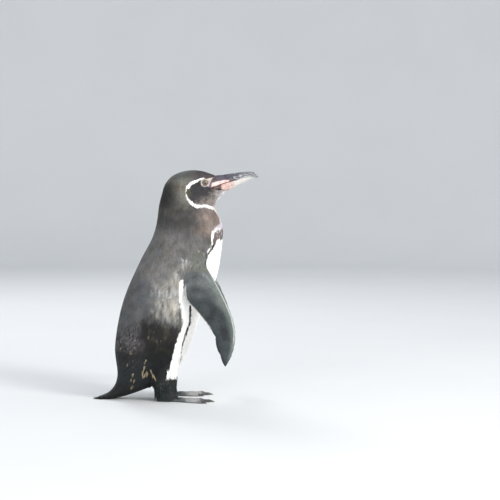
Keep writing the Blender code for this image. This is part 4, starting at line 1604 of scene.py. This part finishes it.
def shape_sockets(places, reach, hole, depth):
    """Leads the skin round each eye down to a ball of this reach, and sinks it within a round hole."""
    moved = np.array(places)
    for side in (-1, 1):
        middle, out = eye_spot(side)
        away = places - middle
        ahead = away @ out
        beside = np.linalg.norm(away - ahead[:, None] * out, axis=1)
        ball = np.sqrt(reach**2 - np.minimum(beside, SOCKET_ROUND) ** 2)
        share = ease(SOCKET_START, SOCKET_END, beside)
        level = ball * (1 - share) + ahead * share - depth * ease(hole + 0.25, hole - 0.25, beside)
        near = (ahead > 0.5) & (beside < SOCKET_END)
        moved += np.where(near, level - ahead, 0)[:, None] * out
    return moved


def make_lids(side):
    """The fleshy rims of the lids: a thin ring, flatter above and below, with fine folds."""
    middle, out = eye_spot(side)
    deselect()
    radius = (EYE_OPENING + 0.12) * MM
    bpy.ops.mesh.primitive_torus_add(
        major_segments=96, minor_segments=14, major_radius=radius, minor_radius=LID_RIM * MM
    )
    piece = bpy.context.active_object
    piece.name = f"eyelids_{side_name(side)}"
    places = places_of(piece.data)
    turns = np.arctan2(places[:, 1], places[:, 0])
    lift = math.sqrt(EYEBALL**2 - EYE_OPENING**2) + 0.12
    places[:, 2] += lift + 0.06 * np.sin(turns * 17) + 0.05 * np.sin(turns * 29)
    ahead = settled(np.array((1.0, 0, 0)) - out * out[0])
    above = np.cross(out, ahead) * np.sign(np.cross(out, ahead)[2])
    write_tone(piece.data, lid_tone(places))
    set_places(piece.data, middle + places @ np.array((ahead * 1.04, above * 0.95, out)))
    edit_whole(piece, bpy.ops.mesh.normals_make_consistent, inside=False)
    shade_smooth(piece)
    dress(piece, "plumage", bare_skin_material("eyelid_skin", roughness=0.4))


def lid_tone(places):
    """Brown, paler behind and above, pink in front; places are measured from the eye, x ahead and y up."""
    ahead, above, _ = places.T
    pale = np.maximum(0.4 * ease(1.0, 3.2, -ahead), 0.3 * ease(2.4, 4.0, above))
    colour = blend(filled(places, LID["brown"]), LID["cream"], pale)
    return blend(colour, LID["pink"], 0.5 * ease(1.5, 3.4, ahead))


# ---------------------------------------------------------------- bill
BILL_VOXEL = 0.42
BILL_SMOOTHING = 9
# Upper limit of the pink wedge and the line between the halves of the bill: how far forward, and how high.
UPPER_PINK_TOP = ((54, 353.6), (59.3, 353.8), (65.7, 356), (74.6, 358), (86.8, 358.6), (94, 358.6))
MOUTH_EDGE = (
    (56, 346),
    (66.6, 349.2),
    (77.2, 353),
    (90.6, 356.8),
    (105.6, 361),
    (118.6, 363.6),
    (129.6, 361.2),
)
# Worked into the sheath: nostril, grooves and the seam at its root.
NOSTRIL = ((76, 6, 362.4), (83, 5.6, 363.6))
SIDE_GROOVE = ((83, 5.8, 363.6), (98, 5, 365.6), (116, 3.6, 367.6))
ROOT_SEAM = ((66, 7.6, 366), (74, 8.4, 360), (84, 6.8, 359.6), (95, 6.2, 359.9))
LOWER_GROOVE = ((66, 9, 346), (82, 7, 350.6), (98, 5.4, 355.6))


def upper_bill_tone(places):
    """Pink wedge at the root, dark purplish ridge with pale scratches, pale grey towards the hook, which near
    the tip climbs onto the ridge as a painted highlight.
    """
    x, _, z = places.T
    rough = patches(places, 5.0, 31)
    fine = patches(places, 1.6, 32)
    scratches = patches(places * (0.25, 1, 1), 1.5, 35)
    veins = ease(0.1, 0.4, patches(places * (0.3, 1, 1), 1.8, 38))
    # The pale grey is the horn's own; where it climbs onto the ridge near the tip it is a painted highlight.
    ridge = 0.08 * (x - 110) + 4 * ease(103, 108, x) * ease(123, 120, x)
    pale = ease(92, 114, x + 6 * rough) * ease(372.4, 369, z - ridge)
    on_ridge = ease(365.5, 367, z) * ease(84, 78, x)
    colour = blend(filled(places, UPPER_BILL["slate"]), UPPER_BILL["purple"], ease(0.0, 0.5, rough))
    colour = blend(colour, UPPER_BILL["grey"], np.clip(pale * (0.75 + 0.6 * scratches), 0, 1))
    colour = blend(colour, UPPER_BILL["veins"], pale * veins)
    colour = blend(colour, UPPER_BILL["scratch"], 0.75 * ease(0.25, 0.45, scratches) * ease(82, 96, x))
    colour = blend(colour, UPPER_BILL["ridge scratch"], 0.6 * ease(0.2, 0.5, scratches) * on_ridge)
    pink = blend(filled(places, UPPER_BILL["pink"]), UPPER_BILL["cream"], 0.7 * ease(70, 82, x + 3 * rough))
    pink = blend(pink, UPPER_BILL["red"], 0.75 * ease(0.15, 0.4, scratches))
    over_wedge = z - edge_at(UPPER_PINK_TOP, x) - 0.5 * fine
    colour = blend(colour, pink, ease(0.45, -0.45, over_wedge) * ease(87, 83.5, x + fine))
    colour = blend(colour, UPPER_BILL["root"], ease(66, 62.5, x + fine) * ease(354.5, 358, z))
    over_mouth = z - edge_at(MOUTH_EDGE, x)
    colour = blend(colour, UPPER_BILL["lip"], 0.7 * ease(1.9, 0.8, over_mouth) * ease(98, 108, x))
    # Partly painted shadow: dark red along the mouth.
    return blend(colour, MOUTH_RED_AND_SHADOW, 0.92 * ease(1.15, 0.55, over_mouth + 0.3 * fine) * ease(106, 96, x))


def lower_bill_tone(places):
    """Dark red at the gape, partly its own colour and partly painted shadow, then pink, pale horn with fine
    dark lines, and greyish white at the tip; dark red and painted shadow along the mouth.
    """
    x, y, z = places.T
    rough = patches(places, 3.0, 33)
    lines = patches(np.stack([0.1 * x, y, z - 0.3 * x], axis=1), 1.2, 36)
    colour = blend(filled(places, LOWER_BILL["pink"]), LOWER_BILL["light"], 0.6 * ease(0.0, 0.5, rough))
    colour = blend(colour, LOWER_BILL["horn"], ease(87, 96, x + 3 * rough))
    colour = blend(colour, LOWER_BILL["tip"], ease(108, 122, x))
    colour = blend(colour, LOWER_BILL["dark lines"], 0.7 * ease(0.3, 0.5, lines) * ease(76, 90, x))
    colour = blend(colour, LOWER_BILL["red lines"], 0.7 * ease(0.2, 0.45, lines) * ease(90, 80, x))
    # Partly painted shadow: the gape's dark red corner.
    gape = ease(74.5, 71.5, x + 1.2 * rough) * (0.97 - 0.25 * ease(0.2, 0.5, lines))
    colour = blend(colour, LOWER_BILL["gape"], gape)
    under_mouth = edge_at(MOUTH_EDGE, x) - z
    # Partly painted shadow: dark red along the mouth.
    return blend(colour, MOUTH_RED_AND_SHADOW, 0.9 * ease(1.3, 0.4, under_mouth) * ease(106, 94, x))


def upper_bill_relief(places):
    """Heights of the nostril, the grooves and the swollen cutting edge."""
    x, _, z = places.T
    nostril = 1.1 * ease(1.5, 0.2, distance_to(NOSTRIL, places))
    groove = 0.4 * ease(1.5, 0.2, distance_to(SIDE_GROOVE, places))
    seam = 0.3 * ease(1.2, 0.2, distance_to(ROOT_SEAM, places))
    lip = 0.22 * ease(1.8, 0.8, z - edge_at(MOUTH_EDGE, x)) * ease(60, 70, x)
    return lip - nostril - groove - seam


def lower_bill_relief(places):
    """Height of the long groove in its side."""
    return -0.35 * ease(1.3, 0.2, distance_to(LOWER_GROOVE, places))


def make_bill(node, name, slot, tone, relief, root_push):
    """A finely meshed horn sheath with its relief, whose root is pushed back under the face."""
    piece = copies_of((node,), name)
    remesh(piece, BILL_VOXEL, BILL_SMOOTHING)
    mesh = piece.data
    places = places_of(mesh)
    height = 0.08 * patches(places * (0.3, 1, 1), 1.2, 34) + 0.16 * patches(places * (0.5, 1, 1), 4.0, 37)
    x, _, z = places.T
    places = places + normals_of(mesh) * (height + relief(places) + 0.1)[:, None]
    at_root = ease(4.5, 0.5, x - 57.5 - 0.65 * np.maximum(z - 357, 0))
    drop = 0.9 * at_root * ease(362, 366, z)
    places = places - at_root[:, None] * (root_push, 0, 0) - drop[:, None] * (0, 0, 1)
    set_places(mesh, places)
    write_tone(mesh, tone(places))
    shade_smooth(piece)
    dress(piece, slot, horn_material(name + "_horn", roughness=0.36), node)


# ---------------------------------------------------------------- tail, feet and claws
TAIL_BLADES = 15
TAIL_ROWS = 14  # of four corners along each blade: left, shaft, right and underside
TAIL_ROOT = (-58, 0, 22)
TAIL_TIP = (-131, 0, 1.6)
TAIL_SHADES = (0.9, 1.7, 0.9, 0.6)
TAIL_LAYER = 2.6  # about how much higher the middle blades start than the outer ones
TAIL_ARCH = 3.0
TAIL_HALF_WIDTH = 3.3
TAIL_SHAFT = 0.42
TAIL_OVER_FLOOR = 0.12
TAIL_MIDDLE_OVER_FLOOR = 0.55
TAIL_WET = 0.6
FOOT_VOXEL = 0.62
FOOT_SMOOTHING = 5
CLAW_VOXEL = 0.3
CLAW_SMOOTHING = 3
CLAW_SEAT = 0.8  # how far a claw's root reaches past the cut between it and its toe


def tail_blade(share, rng):
    """Corners and tones of one tail feather, row by row; share runs from -1 to 1 over the fan."""
    layer = TAIL_LAYER * (1 - abs(share)) ** 0.8
    start = np.array(TAIL_ROOT) + (-15 * share**2, 12 * share, -4 * share**2 + layer * 0.8)
    end = np.array(TAIL_TIP) + (24 * abs(share) ** 1.5, 9.5 * share, layer * 0.35)
    places, tones = [], []
    for row in range(TAIL_ROWS):
        t = row / (TAIL_ROWS - 1)
        arch = TAIL_ARCH * math.sin(t * math.pi) * (1 - abs(share))
        at = start + (end - start) * t + (0, 0, arch) + rng.normal(0, 0.06, 3)
        at[2] = max(at[2], TAIL_MIDDLE_OVER_FLOOR)
        wide = TAIL_HALF_WIDTH * min(1.0, 0.45 + 1.6 * t) * (1 - t**4) ** 0.6 + 0.12
        out = np.array((0, wide, -0.25 * share * wide))
        shaft = TAIL_SHAFT * (1 - 0.6 * t)
        places += [at + out, at + (0, 0, shaft), at - out, at - (0, 0, 0.25)]
        shade = 1 + 0.15 * rng.standard_normal()
        tones += [np.array(TAIL_BLACK) * part * shade for part in TAIL_SHADES]
    return places, tones


def tail_faces(first):
    """Faces of one tail feather whose corners count from this number."""
    last = first + 4 * (TAIL_ROWS - 1)
    faces = []
    for low in range(first, last, 4):
        ring = [(low + i, low + (i + 1) % 4) for i in range(4)]
        faces += [(one, one + 4, two + 4, two) for one, two in ring]
    return faces + [(first, first + 1, first + 2, first + 3), (last + 3, last + 2, last + 1, last)]


def make_tail():
    """Stiff narrow tail feathers, fanned and laid one over the next, resting on the floor."""
    rng = np.random.default_rng(SEED + 3)
    places, faces, tones = [], [], []
    for share in sorted(np.linspace(-1, 1, TAIL_BLADES), key=lambda share: -abs(share)):
        faces += tail_faces(len(places))
        blade = tail_blade(share, rng)
        places += blade[0]
        tones += blade[1]
    places = np.array(places)
    places[:, 2] = np.maximum(places[:, 2], TAIL_OVER_FLOOR)
    mesh = bpy.data.meshes.new("tail_feathers")
    mesh.from_pydata((places * MM).tolist(), [], faces)
    write_tone(mesh, tones)
    write_value(mesh, "wet", np.full(len(places), TAIL_WET))
    write_value(mesh, "along", places[:, 0] / -12)
    write_value(mesh, "across", np.tile((1.0, 0.0, 1.0, 0.0), len(places) // 4))
    piece = add_object("tail_feathers", mesh)
    edit_whole(piece, bpy.ops.mesh.normals_make_consistent, inside=False)
    bpy.ops.object.shade_smooth_by_angle(angle=math.radians(40))
    dress(piece, "plumage", plumage_material("tail_vanes", dry_roughness=0.5, barbs_across=9))


def foot_tone(places):
    """Grey above with a pale patch towards the toes, dark at the ankle, the toes' ends and under the foot."""
    x, _, z = places.T
    rough = patches(places, 5.0, 41)
    fine = patches(places, 1.8, 42)
    forward = x + 6 * rough
    pale = 0.85 * ease(8, 21, forward) * ease(42, 32, forward)
    colour = blend(filled(places, FOOT["grey"]), FOOT["pale"], pale)
    colour = blend(colour, FOOT["toe ends"], ease(38, 46, x + 4 * rough))
    colour = blend(colour, FOOT["blots"], 0.75 * ease(0.2, 0.5, fine))
    colour = blend(colour, LEG_DARK, ease(3.5, 5.5, z + fine) * ease(9, 3, x + 2 * fine))
    colour = blend(colour, LEG_DARK, ease(-2, -8, x + 2 * fine))
    return blend(colour, FOOT["sole"], ease(1.6, 0.4, z))


def make_feet():
    """Webbed feet with a fine relief above, flat on the floor."""
    material = foot_material()
    for side in ("right", "left"):
        piece = copies_of((f"foot_{side}",), f"webbed_foot_{side}")
        remesh(piece, FOOT_VOXEL, FOOT_SMOOTHING)
        places = places_of(piece.data)
        normals = normals_of(piece.data)
        bumps = 0.14 * patches(places, 1.5, 43) + 0.2 * patches(places, 4.0, 44)
        places = places + normals * (bumps * ease(0.2, 0.8, normals[:, 2]))[:, None]
        stand(piece, places, foot_tone)
        dress(piece, "foot_skin", material, f"foot_{side}")


def stand(piece, places, tone):
    """Sets a piece's places, none of them under the floor, and its tones."""
    places[:, 2] = np.maximum(places[:, 2], 0)
    set_places(piece.data, places)
    write_tone(piece.data, tone(places))
    shade_smooth(piece)


def claw_tone(places):
    """Near black horn with brown patches."""
    brown = ease(0.0, 0.6, patches(places, 1.5, 45))
    return blend(filled(places, CLAW["black"]), CLAW["brown"], brown)


def seated(places, side):
    """A claw grown about its tip, so that its root reaches into the toe."""
    low, high = box_of(f"foot_{side}")
    away = np.linalg.norm(places - (low + high) / 2, axis=1)
    tip = places[np.argmax(away)]
    return tip + (places - tip) * (1 + CLAW_SEAT / (away.max() - away.min()))


def make_claws():
    """Curved horn claws, each seated in the end of its toe."""
    material = horn_material("claw_sheath", roughness=0.3)
    for toe in ("inner", "middle", "outer", "hallux"):
        for side in ("right", "left"):
            node = f"claw_{toe}_{side}"
            piece = copies_of((node,), f"{toe}_claw_{side}")
            remesh(piece, CLAW_VOXEL, CLAW_SMOOTHING)
            stand(piece, seated(places_of(piece.data), side), claw_tone)
            dress(piece, "claw_horn", material, node)


# ---------------------------------------------------------------- studio
STAGE_FLOOR = 3.3  # metres from the middle to where the floor starts to rise
STAGE_CURVE = 1.0
STAGE_WALL = 1.35
CURVE_STEPS = 16
ROUND_STEPS = 96
# Name, place, what it points at, size, power and colour, in metres and watts.
LAMPS = (
    ("key", (2.1, -1.8, 1.7), (0, 0, 0.2), 0.9, 72, (1.0, 0.97, 0.93)),
    ("low", (1.6, -2.3, 0.55), (0, 0, 0.1), 0.8, 22, (1.0, 0.98, 0.95)),
    ("fill", (-1.1, -2.6, 0.9), (0, 0, 0.2), 1.4, 24, (0.95, 0.97, 1.0)),
    ("front", (2.6, -0.5, 0.6), (0, 0, 0.15), 0.8, 9, (1.0, 0.98, 0.96)),
    ("rim", (-0.8, 1.8, 1.9), (0, 0, 0.25), 1.0, 22, (1.0, 1.0, 1.0)),
)
AIR_COLOUR = (0.9, 0.95, 1.0, 1)
AIR_STRENGTH = 0.85
CAMERA_PLACE = (0.1193, -2.5, 0.381)
CAMERA_DOWN = 3.136  # degrees under level
CAMERA_LENS = 110.4


def make_stage():
    """A pale round floor that curves up into a low wall on every side, with no edge between them."""
    shape = bmesh.new()
    profile = [(0.0, 0.0), (0.5, 0.0), (STAGE_FLOOR, 0.0)]
    for step in range(1, CURVE_STEPS + 1):
        turn = math.radians(90 * step / CURVE_STEPS)
        profile.append((STAGE_FLOOR + STAGE_CURVE * math.sin(turn), STAGE_CURVE * (1 - math.cos(turn))))
    profile.append((STAGE_FLOOR + STAGE_CURVE, STAGE_WALL))
    line = [shape.verts.new((away, 0, high)) for away, high in profile]
    edges = [shape.edges.new(pair) for pair in zip(line, line[1:])]
    bmesh.ops.spin(
        shape,
        geom=line + edges,
        cent=(0, 0, 0),
        axis=(0, 0, 1),
        angle=2 * math.pi,
        steps=ROUND_STEPS,
        use_merge=True,
    )
    bmesh.ops.remove_doubles(shape, verts=shape.verts, dist=1e-5)
    bmesh.ops.recalc_face_normals(shape, faces=shape.faces)
    mesh = bpy.data.meshes.new("studio_floor")
    shape.to_mesh(mesh)
    shape.free()
    stage = add_object("studio_floor", mesh)
    mesh.materials.append(floor_material())
    shade_smooth(stage)


def add_lamp(name, place, target, size, power, colour):
    """A round soft lamp that points at its target."""
    lamp = bpy.data.lights.new(name, "AREA")
    lamp.shape = "DISK"
    lamp.size = size
    lamp.energy = power
    lamp.color = colour
    holder = add_object(name, lamp)
    holder.location = place
    holder.rotation_euler = (Vector(target) - Vector(place)).to_track_quat("-Z", "Y").to_euler()


def light_studio():
    """Soft lamps from the right and the front, one from the left rear, and pale air all round."""
    scene = bpy.context.scene
    scene.world = bpy.data.worlds.new("studio_air")
    scene.world.use_nodes = True
    air = scene.world.node_tree.nodes["Background"]
    air.inputs["Color"].default_value = AIR_COLOUR
    air.inputs["Strength"].default_value = AIR_STRENGTH
    for lamp in LAMPS:
        add_lamp(*lamp)
    scene.view_settings.view_transform = "Standard"
    scene.view_settings.look = "None"
    scene.view_settings.exposure = 0.0


def place_camera():
    """Square to the right side and as high as the head, looking a little down."""
    lens = bpy.data.cameras.new("camera")
    lens.lens = CAMERA_LENS
    lens.sensor_width = 36.0
    lens.clip_end = 50
    camera = add_object("camera", lens)
    camera.location = CAMERA_PLACE
    camera.rotation_euler = (math.radians(90 - CAMERA_DOWN), 0, 0)
    bpy.context.scene.camera = camera


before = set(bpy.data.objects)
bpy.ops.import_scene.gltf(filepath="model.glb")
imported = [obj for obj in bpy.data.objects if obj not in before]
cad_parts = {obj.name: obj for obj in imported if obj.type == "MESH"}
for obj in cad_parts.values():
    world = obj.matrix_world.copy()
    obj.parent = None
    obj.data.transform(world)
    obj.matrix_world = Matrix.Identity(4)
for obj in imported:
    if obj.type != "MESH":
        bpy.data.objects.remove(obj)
deselect()
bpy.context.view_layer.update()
field = make_skin()
make_coat(field)
make_tufts(field)
make_face()
for side in (-1, 1):
    make_eye(side)
    make_lids(side)
make_bill("bill_upper", "upper_bill", "bill_horn", upper_bill_tone, upper_bill_relief, root_push=3.6)
make_bill("bill_lower", "lower_bill", "bill_pale", lower_bill_tone, lower_bill_relief, root_push=3.0)
make_tail()
make_feet()
make_claws()
make_stage()
light_studio()
place_camera()
